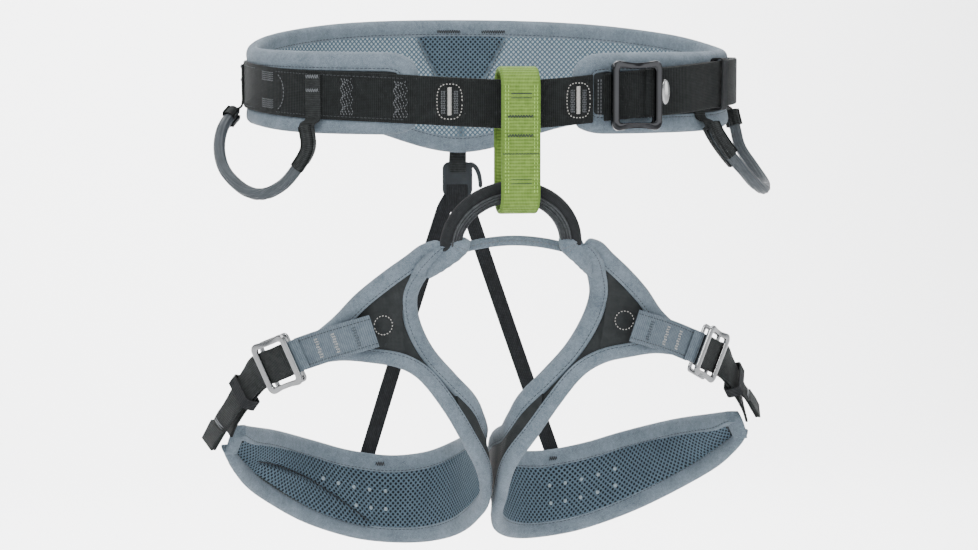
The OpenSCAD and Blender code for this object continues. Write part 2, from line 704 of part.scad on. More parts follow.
waist_foam();
waist_lining();
waist_cover();
waist_edge_tape();
waist_webbing();
tie_in_facing();
waist_strap_tail();
waist_keeper();
waist_buckle_base();
waist_buckle_frame();
waist_buckle_lug();
gear_loop_left();
gear_loop_right();
gear_tabs_left();
gear_tabs_right();
rear_tab();
rear_hook();
rear_strap_left();
rear_strap_right();
belay_loop();
bridge_webbing();
bridge_sleeve();
cross_strip();
leg_foam_left();
leg_foam_right();
leg_lining_left();
leg_lining_right();
leg_cover_left();
leg_cover_right();
leg_panel_left();
leg_panel_right();
leg_upper_tape_left();
leg_upper_tape_right();
leg_lower_tape_left();
leg_lower_tape_right();
leg_outer_tape_left();
leg_outer_tape_right();
leg_sleeve_left();
leg_sleeve_right();
leg_strap_left();
leg_strap_right();
leg_strap_tail_left();
leg_strap_tail_right();
leg_keeper_left();
leg_keeper_right();
leg_buckle_base_left();
leg_buckle_base_right();
leg_buckle_frame_left();
leg_buckle_frame_right();
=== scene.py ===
"""Looks of a climbing sit harness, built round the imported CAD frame. Lengths are in millimetres."""
import math

import bmesh
import bpy
import numpy as np
from mathutils import Matrix, Vector

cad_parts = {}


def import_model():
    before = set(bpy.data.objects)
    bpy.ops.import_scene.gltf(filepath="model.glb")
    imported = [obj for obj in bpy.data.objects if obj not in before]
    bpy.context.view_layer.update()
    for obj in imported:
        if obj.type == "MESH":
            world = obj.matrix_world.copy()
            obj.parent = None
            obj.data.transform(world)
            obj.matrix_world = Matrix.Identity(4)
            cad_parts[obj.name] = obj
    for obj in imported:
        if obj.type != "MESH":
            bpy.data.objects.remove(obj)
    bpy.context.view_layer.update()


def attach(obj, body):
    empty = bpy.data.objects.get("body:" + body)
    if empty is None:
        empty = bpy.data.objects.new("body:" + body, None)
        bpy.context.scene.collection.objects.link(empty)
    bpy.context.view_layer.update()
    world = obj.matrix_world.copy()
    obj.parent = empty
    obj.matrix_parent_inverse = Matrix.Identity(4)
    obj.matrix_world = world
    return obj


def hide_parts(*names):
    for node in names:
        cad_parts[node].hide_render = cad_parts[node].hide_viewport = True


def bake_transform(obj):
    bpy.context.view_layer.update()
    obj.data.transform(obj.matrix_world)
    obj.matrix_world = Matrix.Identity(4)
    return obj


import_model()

MM = 0.001
TAG = {-1: "left", 1: "right"}
RIGHTWARD, FORWARD, UPWARD = (np.array(v) for v in ([1.0, 0, 0], [0, -1.0, 0], [0, 0, 1.0]))

# ---------------------------------------------------------------- camera, floor and lights
AZ, EL, DISTANCE = math.radians(-11), math.radians(5), 1500
AIM = np.array([0, 0, -120.6])
BACK = np.array([math.sin(AZ) * math.cos(EL), -math.cos(AZ) * math.cos(EL), math.sin(EL)])
camera = bpy.data.objects.new("camera", bpy.data.cameras.new("camera"))
bpy.context.collection.objects.link(camera)
camera.location = Vector((AIM + DISTANCE * BACK) * MM)
camera.rotation_euler = Vector(BACK).to_track_quat("Z", "Y").to_euler()
camera.data.sensor_width = 36
camera.data.lens = 88.7
camera.data.clip_end = 50
bpy.context.scene.camera = camera


def plain(name, colour, rough=0.8):
    m = bpy.data.materials.new(name)
    m.use_nodes = True
    b = m.node_tree.nodes["Principled BSDF"]
    b.inputs["Base Color"].default_value = (*colour, 1)
    b.inputs["Roughness"].default_value = rough
    return m


def studio():
    """A pale floor that curves up into a pale wall, well below and behind the harness."""
    profile = [(-6, 0), (2.2, 0)]
    profile += [(2.2 + 1.2 * math.sin(t), 1.2 - 1.2 * math.cos(t)) for t in np.linspace(0.1, 1.5, 14)]
    profile += [(3.4, 6)]
    verts = [(x, y, z - 0.62) for y, z in profile for x in (-7, 7)]
    faces = [(2 * i, 2 * i + 1, 2 * i + 3, 2 * i + 2) for i in range(len(profile) - 1)]
    me = bpy.data.meshes.new("studio")
    me.from_pydata(verts, [], faces)
    me.shade_smooth()
    me.materials.append(plain("studio_white", (0.93, 0.93, 0.935), 0.9))
    floor = bpy.data.objects.new("studio", me)
    bpy.context.collection.objects.link(floor)
    world = bpy.data.worlds.new("studio")
    bpy.context.scene.world = world
    world.use_nodes = True
    world.node_tree.nodes["Background"].inputs[0].default_value = (0.95, 0.97, 1, 1)
    world.node_tree.nodes["Background"].inputs[1].default_value = 0.62
    for name, place, size, power in (("key", (-1.3, -1.5, 1.5), 1.2, 52), ("fill", (1.5, -1.3, 0.5), 1.4, 14),
                                     ("top", (0.1, 0.3, 1.6), 1.2, 26), ("wall", (0, 1.2, 1.6), 3, 420),
                                     ("low", (0, -1.2, -0.45), 1.2, 5)):
        light = bpy.data.lights.new(name, "AREA")
        light.size, light.energy = size, power
        lamp = bpy.data.objects.new(name, light)
        lamp.location = place
        aim = Vector((0, 3, 1)) if name == "wall" else Vector((0, 0, -0.12))
        lamp.rotation_euler = (Vector(place) - aim).to_track_quat("Z", "Y").to_euler()
        bpy.context.collection.objects.link(lamp)


studio()


# ---------------------------------------------------------------- curves
def unit(v):
    v = np.asarray(v, float)
    return v / np.maximum(np.linalg.norm(v, axis=-1, keepdims=True), 1e-9)


def spline(p, s):
    p = np.asarray(p, float)
    s = np.asarray(s, float)
    n = len(p) - 1
    i = np.clip(np.floor(s).astype(int), 0, n - 1)
    f = (s - i).reshape(s.shape + (1,) * (p.ndim - 1))
    a, b, c, d = p[np.maximum(i - 1, 0)], p[i], p[i + 1], p[np.minimum(i + 2, n)]
    return 0.5 * (2 * b + (c - a) * f + (2 * a - 5 * b + 4 * c - d) * f * f
                  + (3 * b - a - 3 * c + d) * f ** 3)


def along(p, s):
    return unit(spline(p, np.asarray(s) + 0.02) - spline(p, np.asarray(s) - 0.02))


def ramp(x, lo, hi):
    k = np.clip((np.asarray(x, float) - lo) / (hi - lo), 0, 1)
    return k * k * (3 - 2 * k)


def lengths(points):
    """Distance along a row of points, from its first."""
    step = np.linalg.norm(np.diff(points, axis=0), axis=1)
    return np.concatenate([[0], np.cumsum(step)])


# ---------------------------------------------------------------- materials
class Paint:
    """Builds one node material. Patterns read the mm attribute: along, across and out, in millimetres."""

    def __init__(self, name, rough=0.8, metal=0, sheen=0, specular=0.5, coat=0):
        self.m = bpy.data.materials.new(name)
        self.m.use_nodes = True
        self.t = self.m.node_tree
        self.b = self.t.nodes["Principled BSDF"]
        for key, value in (("Roughness", rough), ("Metallic", metal), ("Sheen Weight", sheen),
                           ("Sheen Roughness", 0.5), ("Specular IOR Level", specular), ("Coat Weight", coat)):
            self.b.inputs[key].default_value = value
        place = self.t.nodes.new("ShaderNodeAttribute")
        place.attribute_name = "mm"
        self.place = place.outputs["Vector"]
        split = self.t.nodes.new("ShaderNodeSeparateXYZ")
        self.t.links.new(self.place, split.inputs[0])
        self.u, self.v, self.w = split.outputs
        self.solid = self.t.nodes.new("ShaderNodeTexCoord").outputs["Object"]

    def math(self, op, a, b=0.0, c=0.0, clamp=False):
        n = self.t.nodes.new("ShaderNodeMath")
        n.operation, n.use_clamp = op, clamp
        for i, x in enumerate((a, b, c)):
            if isinstance(x, (int, float)):
                n.inputs[i].default_value = x
            else:
                self.t.links.new(x, n.inputs[i])
        return n.outputs[0]

    def wave(self, x, period, shift=0.0):
        """Between 0 and 1, once in each period."""
        s = self.math("SINE", self.math("MULTIPLY_ADD", x, 2 * math.pi / period, shift))
        return self.math("MULTIPLY_ADD", s, 0.5, 0.5)

    def noise(self, size_mm, detail=2.0, stretch=None, rough=0.5):
        n = self.t.nodes.new("ShaderNodeTexNoise")
        n.inputs["Scale"].default_value = 1000 / size_mm
        n.inputs["Detail"].default_value = detail
        n.inputs["Roughness"].default_value = rough
        if stretch:
            mapping = self.t.nodes.new("ShaderNodeMapping")
            mapping.inputs["Scale"].default_value = [x * MM for x in stretch]
            self.t.links.new(self.place, mapping.inputs[0])
            self.t.links.new(mapping.outputs[0], n.inputs["Vector"])
        else:
            self.t.links.new(self.solid, n.inputs["Vector"])
        return n.outputs["Fac"]

    def mix(self, k, a, b):
        n = self.t.nodes.new("ShaderNodeMix")
        n.data_type = "RGBA"
        for socket, x in ((n.inputs[0], k), (n.inputs[6], a), (n.inputs[7], b)):
            if isinstance(x, (tuple, list)):
                socket.default_value = (*x, 1)
            elif isinstance(x, (int, float)):
                socket.default_value = x
            else:
                self.t.links.new(x, socket)
        return n.outputs[2]

    def colour(self, c):
        if isinstance(c, (tuple, list)):
            self.b.inputs["Base Color"].default_value = (*c, 1)
        else:
            self.t.links.new(c, self.b.inputs["Base Color"])
        return self

    def rough(self, x):
        self.t.links.new(x, self.b.inputs["Roughness"])
        return self

    def bump(self, height, depth_mm, strength=1.0):
        n = self.t.nodes.new("ShaderNodeBump")
        n.inputs["Distance"].default_value = depth_mm * MM
        n.inputs["Strength"].default_value = strength
        self.t.links.new(height, n.inputs["Height"])
        self.t.links.new(n.outputs[0], self.b.inputs["Normal"])
        return self


def velour():
    p = Paint("velour_tape", 0.95, sheen=0.12, specular=0.1)
    fine, mid, wide = p.noise(0.35, 2), p.noise(2.2, 3), p.noise(14, 2)
    tone = p.math("MULTIPLY_ADD", mid, 0.5, p.math("MULTIPLY", wide, 0.5))
    base = p.mix(p.math("MULTIPLY_ADD", p.math("SUBTRACT", tone, 0.5), 1.7, 0.5, clamp=True),
                 (0.066, 0.09, 0.113), (0.19, 0.235, 0.275))
    speck = p.math("MULTIPLY", p.math("SUBTRACT", fine, 0.5, clamp=True), 2.2, clamp=True)
    p.colour(p.mix(speck, base, (0.34, 0.4, 0.45)))
    return p.bump(p.math("MULTIPLY_ADD", mid, 0.6, fine), 0.35).m


def mesh_lining(name, painted_see_through_light=False, pitch=3.3):
    """Knitted spacer mesh with a staggered row of round holes. The holes carry painted shade; on the belt,
    painted light seen through them pales the holes at the sides.
    """
    p = Paint(name, 0.9, sheen=0.05, specular=0.1)
    a = p.math("MULTIPLY", p.math("ADD", p.u, p.v), math.pi / pitch)
    b = p.math("MULTIPLY", p.math("SUBTRACT", p.u, p.v), math.pi / pitch)
    lattice = p.math("ABSOLUTE", p.math("MULTIPLY", p.math("SINE", a), p.math("SINE", b)))
    hole = p.math("MULTIPLY", p.math("SUBTRACT", lattice, 0.41), 5.5, clamp=True)
    shade = p.noise(22, 2)
    fine = p.noise(0.5, 2)
    yarn = p.mix(shade, (0.045, 0.075, 0.102), (0.088, 0.135, 0.175))
    yarn = p.mix(p.math("MULTIPLY", fine, 0.35), yarn, (0.2, 0.265, 0.31))
    # Colour in the holes: painted shade, and on the belt, pale painted light seen through the holes past 28
    # mm beside the back panel
    if painted_see_through_light:
        middle = p.math("ABSOLUTE", p.w)
        inside = p.mix(p.math("MULTIPLY", p.math("SUBTRACT", middle, 28), 0.2, clamp=True),
                       (0.008, 0.012, 0.016), (0.33, 0.39, 0.43))
    else:
        inside = (0.006, 0.009, 0.012)
    # The holes take this painted light and shade in place of the yarn colour
    p.colour(p.mix(hole, yarn, inside))
    height = p.math("MULTIPLY_ADD", p.math("SUBTRACT", 1.0, hole), 1.0, p.math("MULTIPLY", fine, 0.15))
    return p.bump(height, 0.7).m


def webbing(name, dark, light, rib=1.25, edge=None, half=14.0, depth=0.28, sheen=0.03, rough=0.75):
    """Woven webbing: ribs across, fine yarns along, a denser selvedge at each side."""
    p = Paint(name, rough, sheen=sheen, specular=0.16)
    ribs = p.wave(p.u, rib)
    yarn = p.wave(p.v, 0.9)
    weave = p.math("MULTIPLY_ADD", ribs, 0.65, p.math("MULTIPLY", yarn, 0.35))
    wear = p.noise(3, 3)
    tone = p.math("MULTIPLY_ADD", weave, 0.7, p.math("MULTIPLY_ADD", wear, 0.8, -0.25), clamp=True)
    base = p.mix(tone, dark, light)
    border = p.math("SUBTRACT", p.math("ABSOLUTE", p.v), half - 1.8)
    if edge:
        base = p.mix(p.math("MULTIPLY", border, 1.5, clamp=True), base, edge)
    p.colour(base)
    return p.bump(weave, depth).m


def knit(name, dark, light, rib=1.1):
    p = Paint(name, 0.85, sheen=0.03, specular=0.16)
    ribs = p.wave(p.v, rib)
    cross = p.wave(p.u, 0.8)
    h = p.math("MULTIPLY_ADD", ribs, 0.7, p.math("MULTIPLY", cross, 0.3))
    tone = p.math("MULTIPLY_ADD", p.noise(2.5, 2), 0.7, p.math("MULTIPLY", h, 0.5), clamp=True)
    p.colour(p.mix(tone, dark, light))
    return p.bump(h, 0.25).m


def fabric(name, dark, light):
    p = Paint(name, 0.8, sheen=0.03, specular=0.16)
    h = p.math("MULTIPLY", p.wave(p.u, 0.8), p.wave(p.v, 0.8))
    tone = p.math("MULTIPLY_ADD", p.noise(6, 3), 0.8, p.math("MULTIPLY", h, 0.3), clamp=True)
    p.colour(p.mix(tone, dark, light))
    return p.bump(h, 0.15).m


def metal(name, colour, rough, marks=0.06):
    p = Paint(name, rough, metal=1, specular=0.5)
    scuff = p.noise(5, 4, rough=0.7)
    p.colour(p.mix(p.noise(9, 2), colour, [0.8 * c for c in colour]))
    p.rough(p.math("MULTIPLY_ADD", scuff, marks * 2, rough - marks, clamp=True))
    return p.bump(p.noise(1.2, 3), 0.02, 0.5).m


def plastic(name, dark, light, ribs=False):
    p = Paint(name, 0.55, specular=0.3)
    h = p.noise(0.6, 2)
    if ribs:
        h = p.math("MULTIPLY_ADD", p.wave(p.v, 2.4), 1.0, p.math("MULTIPLY", h, 0.3))
    p.colour(p.mix(p.noise(7, 3), dark, light))
    return p.bump(h, 0.2 if ribs else 0.06).m


def thread(name, colour):
    p = Paint(name, 0.7, sheen=0.2, specular=0.4)
    p.colour(p.mix(p.noise(1.5, 2), [0.75 * c for c in colour], colour))
    return p.m


VELOUR = velour()
MESH = mesh_lining("mesh_lining", pitch=3.6)
# Belt lining: its holes get painted shade, and painted light seen through them at the sides
MESH_BELT = mesh_lining("mesh_lining_belt", True)
BLACK = webbing("black_webbing", (0.001, 0.0013, 0.0013), (0.017, 0.02, 0.02), half=14)
BLACK_LEG = webbing("black_leg_webbing", (0.003, 0.0035, 0.0035), (0.034, 0.038, 0.038), rib=1.1, half=10)
GREY = webbing("grey_webbing", (0.06, 0.08, 0.1), (0.15, 0.185, 0.215), rib=1.3, half=10, depth=0.2)
GREEN = webbing("belay_webbing", (0.075, 0.145, 0.02), (0.235, 0.37, 0.075), rib=1.9, half=11.5, depth=0.4,
                edge=(0.12, 0.21, 0.035))
PINSTRIPE = knit("bridge_webbing", (0.004, 0.0045, 0.005), (0.075, 0.08, 0.085), rib=1.5)
TUBING = knit("bridge_tubing", (0.008, 0.009, 0.0095), (0.026, 0.028, 0.03), rib=0.7)
ELASTIC = knit("elastic", (0.004, 0.0045, 0.005), (0.024, 0.026, 0.028), rib=1.2)
OUTER = fabric("outer_fabric", (0.011, 0.013, 0.0135), (0.036, 0.04, 0.041))
DARK_METAL = metal("dark_buckle", (0.045, 0.046, 0.049), 0.09, 0.03)
LUG_METAL = metal("lug_metal", (0.5, 0.5, 0.5), 0.22)
SILVER = metal("silver_buckle", (0.34, 0.345, 0.35), 0.2)
GEAR = plastic("gear_loop_plastic", (0.04, 0.047, 0.053), (0.075, 0.085, 0.095), ribs=True)
HOOK = plastic("hook_plastic", (0.012, 0.015, 0.018), (0.025, 0.03, 0.034))
WHITE_THREAD = thread("white_thread", (0.5, 0.485, 0.46))
GREY_THREAD = thread("grey_thread", (0.13, 0.14, 0.15))
DARK_THREAD = thread("dark_thread", (0.012, 0.016, 0.02))
GREEN_THREAD = thread("green_thread", (0.36, 0.62, 0.1))
CLEAR = plain("grip_dots", (0.2, 0.25, 0.28), 0.2)


# ---------------------------------------------------------------- meshes
def obj(name, verts, faces, coords, mats, face_mat=None, sharp=None):
    """Mesh object from points in mm, faces, and each face corner's place on the piece in mm."""
    me = bpy.data.meshes.new(name)
    me.from_pydata([tuple(v) for v in np.asarray(verts, float) * MM], [], faces)
    at = me.attributes.new("mm", "FLOAT_VECTOR", "CORNER")
    at.data.foreach_set("vector", np.asarray(coords, np.float32).ravel())
    for m in mats if isinstance(mats, (list, tuple)) else [mats]:
        me.materials.append(m)
    if face_mat is not None:
        me.polygons.foreach_set("material_index", np.asarray(face_mat, np.int32))
    bm = bmesh.new()
    bm.from_mesh(me)
    bmesh.ops.recalc_face_normals(bm, faces=bm.faces)
    bm.to_mesh(me)
    bm.free()
    me.shade_smooth()
    if sharp:
        me.set_sharp_from_angle(angle=math.radians(sharp))
    o = bpy.data.objects.new(name, me)
    bpy.context.collection.objects.link(o)
    return o


def grid(P, U, V, W, wrap_i=False, wrap_j=True, caps=True, mat_of=None):
    """Faces of a grid of points P[i, j]. U, V and W are each corner's place, as arrays over i and j.
    A grid that wraps has one more row or column in U, V and W than in P."""
    n, m = P.shape[:2]
    rows, cols = (n if wrap_i else n - 1), (m if wrap_j else m - 1)
    full = (n + wrap_i, m + wrap_j)
    U, V, W = (np.broadcast_to(np.asarray(x, float), full) for x in (U, V, W))
    faces, coords, mats = [], [], []
    for i in range(rows):
        for j in range(cols):
            quad = ((i, j), (i, j + 1), (i + 1, j + 1), (i + 1, j))
            faces.append(tuple((a % n) * m + (b % m) for a, b in quad))
            coords += [(U[q], V[q], W[q]) for q in quad]
            mats.append(mat_of(i, j) if mat_of else 0)
    if caps and not wrap_i and wrap_j:
        for i in (0, n - 1):
            faces.append(tuple(i * m + j for j in range(m)))
            coords += [(U[i, j], V[i, j], W[i, j]) for j in range(m)]
            mats.append(0)
    return P.reshape(-1, 3), faces, coords, mats


def close(a):
    return np.concatenate([a, a[:1]])


def shell(name, P, U, V, W, mat, sharp=None, wrap_i=False):
    """Closed mesh of a grid of points that wraps across, and along too where wrap_i is set."""
    return obj(name, *grid(P, U, V, W, wrap_i=wrap_i)[:3], mat, sharp=sharp)


def like(v, points):
    """The direction v, once for each of the points."""
    return np.broadcast_to(v, np.shape(points))


def evenly(ring, n, *others):
    """Length of a closed flat line, n points evenly round it, and the matching points of other lines."""
    d = lengths(close(ring))
    s = np.linspace(0, d[-1], n, endpoint=False)
    return d[-1], *(np.stack([np.interp(s, d, close(line)[:, c]) for c in range(2)], 1)
                    for line in (ring, *others))


def rounded(w, h, r, steps, cx=0.0, cy=0.0):
    """Rectangle w by h with corners of radius r, each drawn with a number of steps."""
    pts = []
    for x, y, start in ((w / 2 - r, h / 2 - r, 0), (-w / 2 + r, h / 2 - r, 90),
                        (-w / 2 + r, -h / 2 + r, 180), (w / 2 - r, -h / 2 + r, 270)):
        for a in np.radians(np.linspace(start, start + 90, steps)):
            pts.append((cx + x + r * math.cos(a), cy + y + r * math.sin(a)))
    return np.array(pts)


def keeper_band(ring, n, half, end, thick, steps):
    """An elastic keeper's length, its line, the line's normals, and its section as (along, out)."""
    total, ring = evenly(ring, n)
    tang = unit(np.roll(ring, -1, 0) - np.roll(ring, 1, 0))
    x = np.linspace(-half, half, steps)
    section = [(k, thick) for k in x] + [(end, 0.0)] + [(k, -thick) for k in x[::-1]] + [(-end, 0.0)]
    return total, ring, np.stack([tang[:, 1], -tang[:, 0]], 1), section


def profile(w, t, columns=8):
    """Cross-section of a flat webbing with rounded sides, as (across, out)."""
    r = t / 2
    x = np.linspace(-w / 2 + r, w / 2 - r, columns)
    side = np.radians([60, 30, 0, -30, -60])
    top = [(k, r) for k in x]
    right = [(w / 2 - r + r * math.cos(k), r * math.sin(k)) for k in side]
    return np.array(top + right + [(-a, -b) for a, b in top] + [(-a, -b) for a, b in right])


def strap(name, O, A, N, w, t, mat, columns=8, swell=None, taper=None):
    """Webbing along points O, its width along A and its face along N."""
    O, A, N = np.asarray(O, float), np.asarray(A, float), np.asarray(N, float)
    q = profile(w, t, columns)
    k = np.ones(len(O)) if taper is None else taper
    P = O[:, None] + (q[:, 0] * k[:, None])[..., None] * A[:, None] + q[:, 1][None, :, None] * N[:, None]
    if swell is not None:
        P = P + (swell[:, None] * (1 - (2 * q[:, 0] / w) ** 2))[..., None] * N[:, None]
    U = lengths(O)[:, None]
    c = close(q)
    return shell(name, P, U, c[None, :, 0], c[None, :, 1], mat, 50)


def dense(points, step=2.5):
    """Places along a route that are about step apart, as its parameter values."""
    points = np.asarray(points, float)
    s = np.linspace(0, len(points) - 1, 40 * len(points))
    d = lengths(spline(points, s))
    n = max(4, int(d[-1] / step))
    return np.interp(np.linspace(0, d[-1], n), d, s)


def tube(name, O, radius, side, mat, flat=1.0, sides=16, round_ends=True, ribs=0):
    """Round or flattened tube along O. side is a direction that it never runs along."""
    O = np.asarray(O, float)
    T = unit(np.gradient(O, axis=0))
    X = unit(np.cross(np.asarray(side, float), T))
    Y = np.cross(T, X)
    r = np.broadcast_to(np.asarray(radius, float), (len(O),)).copy()
    if round_ends:
        d = lengths(O)
        for dist in (d, d[-1] - d):
            k = np.clip(dist / r.max(), 0, 1)
            r = r * np.sqrt(np.maximum(1 - (1 - k) ** 2, 0.04))
    ang = np.linspace(0, 2 * math.pi, sides, endpoint=False)
    bumps = (1 + 0.035 * np.cos(ang * ribs) if ribs else np.ones(sides))[None, :, None]
    P = O[:, None] + r[:, None, None] * bumps * (np.cos(ang)[None, :, None] * X[:, None]
                                                 + flat * np.sin(ang)[None, :, None] * Y[:, None])
    around = np.linspace(0, 2 * math.pi * np.max(radius), sides + 1)
    return shell(name, P, lengths(O)[:, None], around[None], 0, mat, 60)


class Threads:
    """Many small stitches gathered into one mesh."""

    def __init__(self, name, mat, body, slot):
        self.name, self.mat, self.body, self.slot = name, mat, body, slot
        self.v, self.f, self.seen = [], [], 0

    def stitch(self, a, b, n, r=0.35, lift=0.3, sides=6):
        a, b, n = (np.asarray(x, float) for x in (a, b, n))
        t = unit(b - a)
        x = unit(np.cross(n, t))
        base = self.seen
        rings = [(0.0, 0.35, -0.6), (0.18, 0.85, 0.35), (0.5, 1, 1), (0.82, 0.85, 0.35), (1.0, 0.35, -0.6)]
        for k, fat, up in rings:
            c = a + (b - a) * k + n * (lift * up)
            for j in range(sides):
                ang = 2 * math.pi * j / sides
                self.v.append(c + r * fat * (x * math.cos(ang) + n * math.sin(ang)))
        for i in range(len(rings) - 1):
            for j in range(sides):
                q = (j + 1) % sides
                self.f.append((base + i * sides + j, base + i * sides + q,
                               base + (i + 1) * sides + q, base + (i + 1) * sides + j))
        self.f.append(tuple(base + j for j in range(sides)))
        self.f.append(tuple(base + (len(rings) - 1) * sides + j for j in range(sides)))
        self.seen += len(rings) * sides

    def seam(self, points, normals, pitch=3.2, size=2.2, r=0.32, lift=0.25):
        """A running seam of stitches along a row of points."""
        points, normals = np.asarray(points, float), np.asarray(normals, float)
        d = lengths(points)
        for k in range(int(d[-1] / pitch)):
            lo = k * pitch + (pitch - size) / 2
            ends = [np.array([np.interp(x, d, points[:, c]) for c in range(3)]) for x in (lo, lo + size)]
            n = unit(np.array([np.interp(lo + size / 2, d, normals[:, c]) for c in range(3)]))
            self.stitch(ends[0], ends[1], n, r, lift)

    def bartack(self, centre, x, y, n, w, h, pitch=0.75, r=0.34):
        """A block of close stitches: w along x, h along y, each stitch along y."""
        for k in range(int(w / pitch) + 1):
            c = np.asarray(centre, float) + np.asarray(x, float) * (k * pitch - w / 2)
            slant = np.asarray(x, float) * (0.3 if k % 2 else -0.3)
            reach = np.asarray(y, float) * h / 2
            self.stitch(c - reach - slant, c + reach + slant, n, r, 0.35)

    def make(self):
        corners = sum(len(f) for f in self.f)
        o = obj(self.name, self.v, self.f, np.zeros((corners, 3)), self.mat)
        put(o, self.body, self.slot)


def put(o, body, slot, *nodes):
    if nodes:
        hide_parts(*nodes)
    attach(o, body)


belt_grey = Threads("belt_grey_stitching", GREY_THREAD, "belt", "black_webbing")
belt_white = Threads("belt_white_stitching", WHITE_THREAD, "belt", "black_webbing")
belt_dark = Threads("belt_dark_stitching", DARK_THREAD, "belt", "edge_tape")
leg_grey = Threads("leg_grey_stitching", GREY_THREAD, "legs", "edge_tape")
leg_white = Threads("leg_white_stitching", WHITE_THREAD, "legs", "outer_fabric")
leg_silver = Threads("leg_silver_stitching", WHITE_THREAD, "legs", "grey_webbing")
leg_dark = Threads("leg_dark_stitching", DARK_THREAD, "legs", "edge_tape")

# ---------------------------------------------------------------- belt
# Angle a runs clockwise seen from above: 0 front centre, 90 left, 180 back, 270 right.
HALF_W, HALF_D = 149.0, 105.0
START, END = 24.0, 348.0
PAD_T = 7.2  # padding, through its bindings
TAPE_W = 11.0
TRIM = 5.0  # how far the binding reaches in at both ends, in degrees
WEB_W = 28
# Sewn lines of the back panel: half the width between them, its growth, and the height it takes
PANEL_HALF, PANEL_GROWTH, PANEL_H, PANEL_FOOT = 11, 19, 36, 6
TOP = [17, 17, 18, 21, 30, 37, 39, 37, 30, 21, 18, 17, 16]
LOW = [-30, -30.5, -29.5, -25.5, -25, -30, -48, -30, -25, -25.5, -29.5, -30.5, -30]
MID = [-13, -9.5, -6.5, -2, -0.5, 0, 0, 0, 0.5, 0.5, -1.5, -6.5, -13]


def belt_normal(a):
    a = np.radians(a)
    return unit(np.stack([-np.sin(a) / HALF_W, -np.cos(a) / HALF_D, 0 * a], -1))


def web_z(a):
    return spline(MID, np.mod(np.asarray(a, float) + 360, 360) / 30)


def belt_point(a, z, out=0.0):
    a, z, out = np.broadcast_arrays(np.asarray(a, float), np.asarray(z, float), np.asarray(out, float))
    h = z - web_z(a)
    k = np.clip((np.abs(h) - 16) / 16, 0, 1)
    lean = k * k * np.where(h > 0, -3.0, 4.0 * np.sin(np.radians(a)) ** 2)
    r = np.radians(a)
    base = np.stack([-HALF_W * np.sin(r), -HALF_D * np.cos(r), z], -1)
    return base + (out + lean)[..., None] * belt_normal(a)


def end_factor(a):
    s = np.minimum(np.minimum(a - START, END - a), 8) / 8
    k = 1 - np.maximum(s, 0)
    return 0.6 + 0.4 * np.sqrt(np.maximum(1 - k * k, 0))


def top_z(a):
    return web_z(a) + (spline(TOP, a / 30) - web_z(a)) * end_factor(a)


def low_z(a):
    return web_z(a) + (spline(LOW, a / 30) - web_z(a)) * end_factor(a)


def arc_mm(a):
    """Distance along the belt from the back centre."""
    t = np.linspace(0, 360, 721)
    d = lengths(belt_point(t, 0 * t))
    return np.interp(a, t, d) - np.interp(180, t, d)


def bound_edge(name, at, rows, depth, loop):
    """Tape folded over an edge. at(k, share, t) gives row k's points, with share 0 at the edge and 1 at
    the tape's inner border, and t the depth from the outer face. rows is the number of rows."""
    q = [(1.02, 1.6), (1.0, 0.25), (0.955, -0.3), (0.9, -0.2), (0.85, 0.02), (0.79, -0.3), (0.66, -0.6),
         (0.48, -0.7), (0.3, -0.45), (0.15, 0.35), (0.04, 1.7)]
    q = q + [(-0.005, depth / 2)] + [(s, depth - t) for s, t in reversed(q)]
    q = np.array(q)
    k = np.arange(rows)
    P = at(k[:, None], q[None, :, 0], q[None, :, 1])
    ripple = 0.14 * np.sin(k * 1.9) + 0.1 * np.sin(k * 0.77 + 1)
    weight = np.exp(-((q[:, 0] - 0.5) / 0.3) ** 2) * np.where(q[:, 1] < depth / 2, -1, 1)
    P = at(k[:, None], q[None, :, 0], q[None, :, 1] + ripple[:, None] * weight[None])
    U = lengths(P[:, 7] if not loop else close(P[:, 7]))[:, None]
    V = close(q[:, 0] * 11 + np.where(q[:, 1] > depth / 2, 30 - 22 * q[:, 0], 0))[None]
    return shell(name, P, U, V, 0, VELOUR, 70, wrap_i=loop)


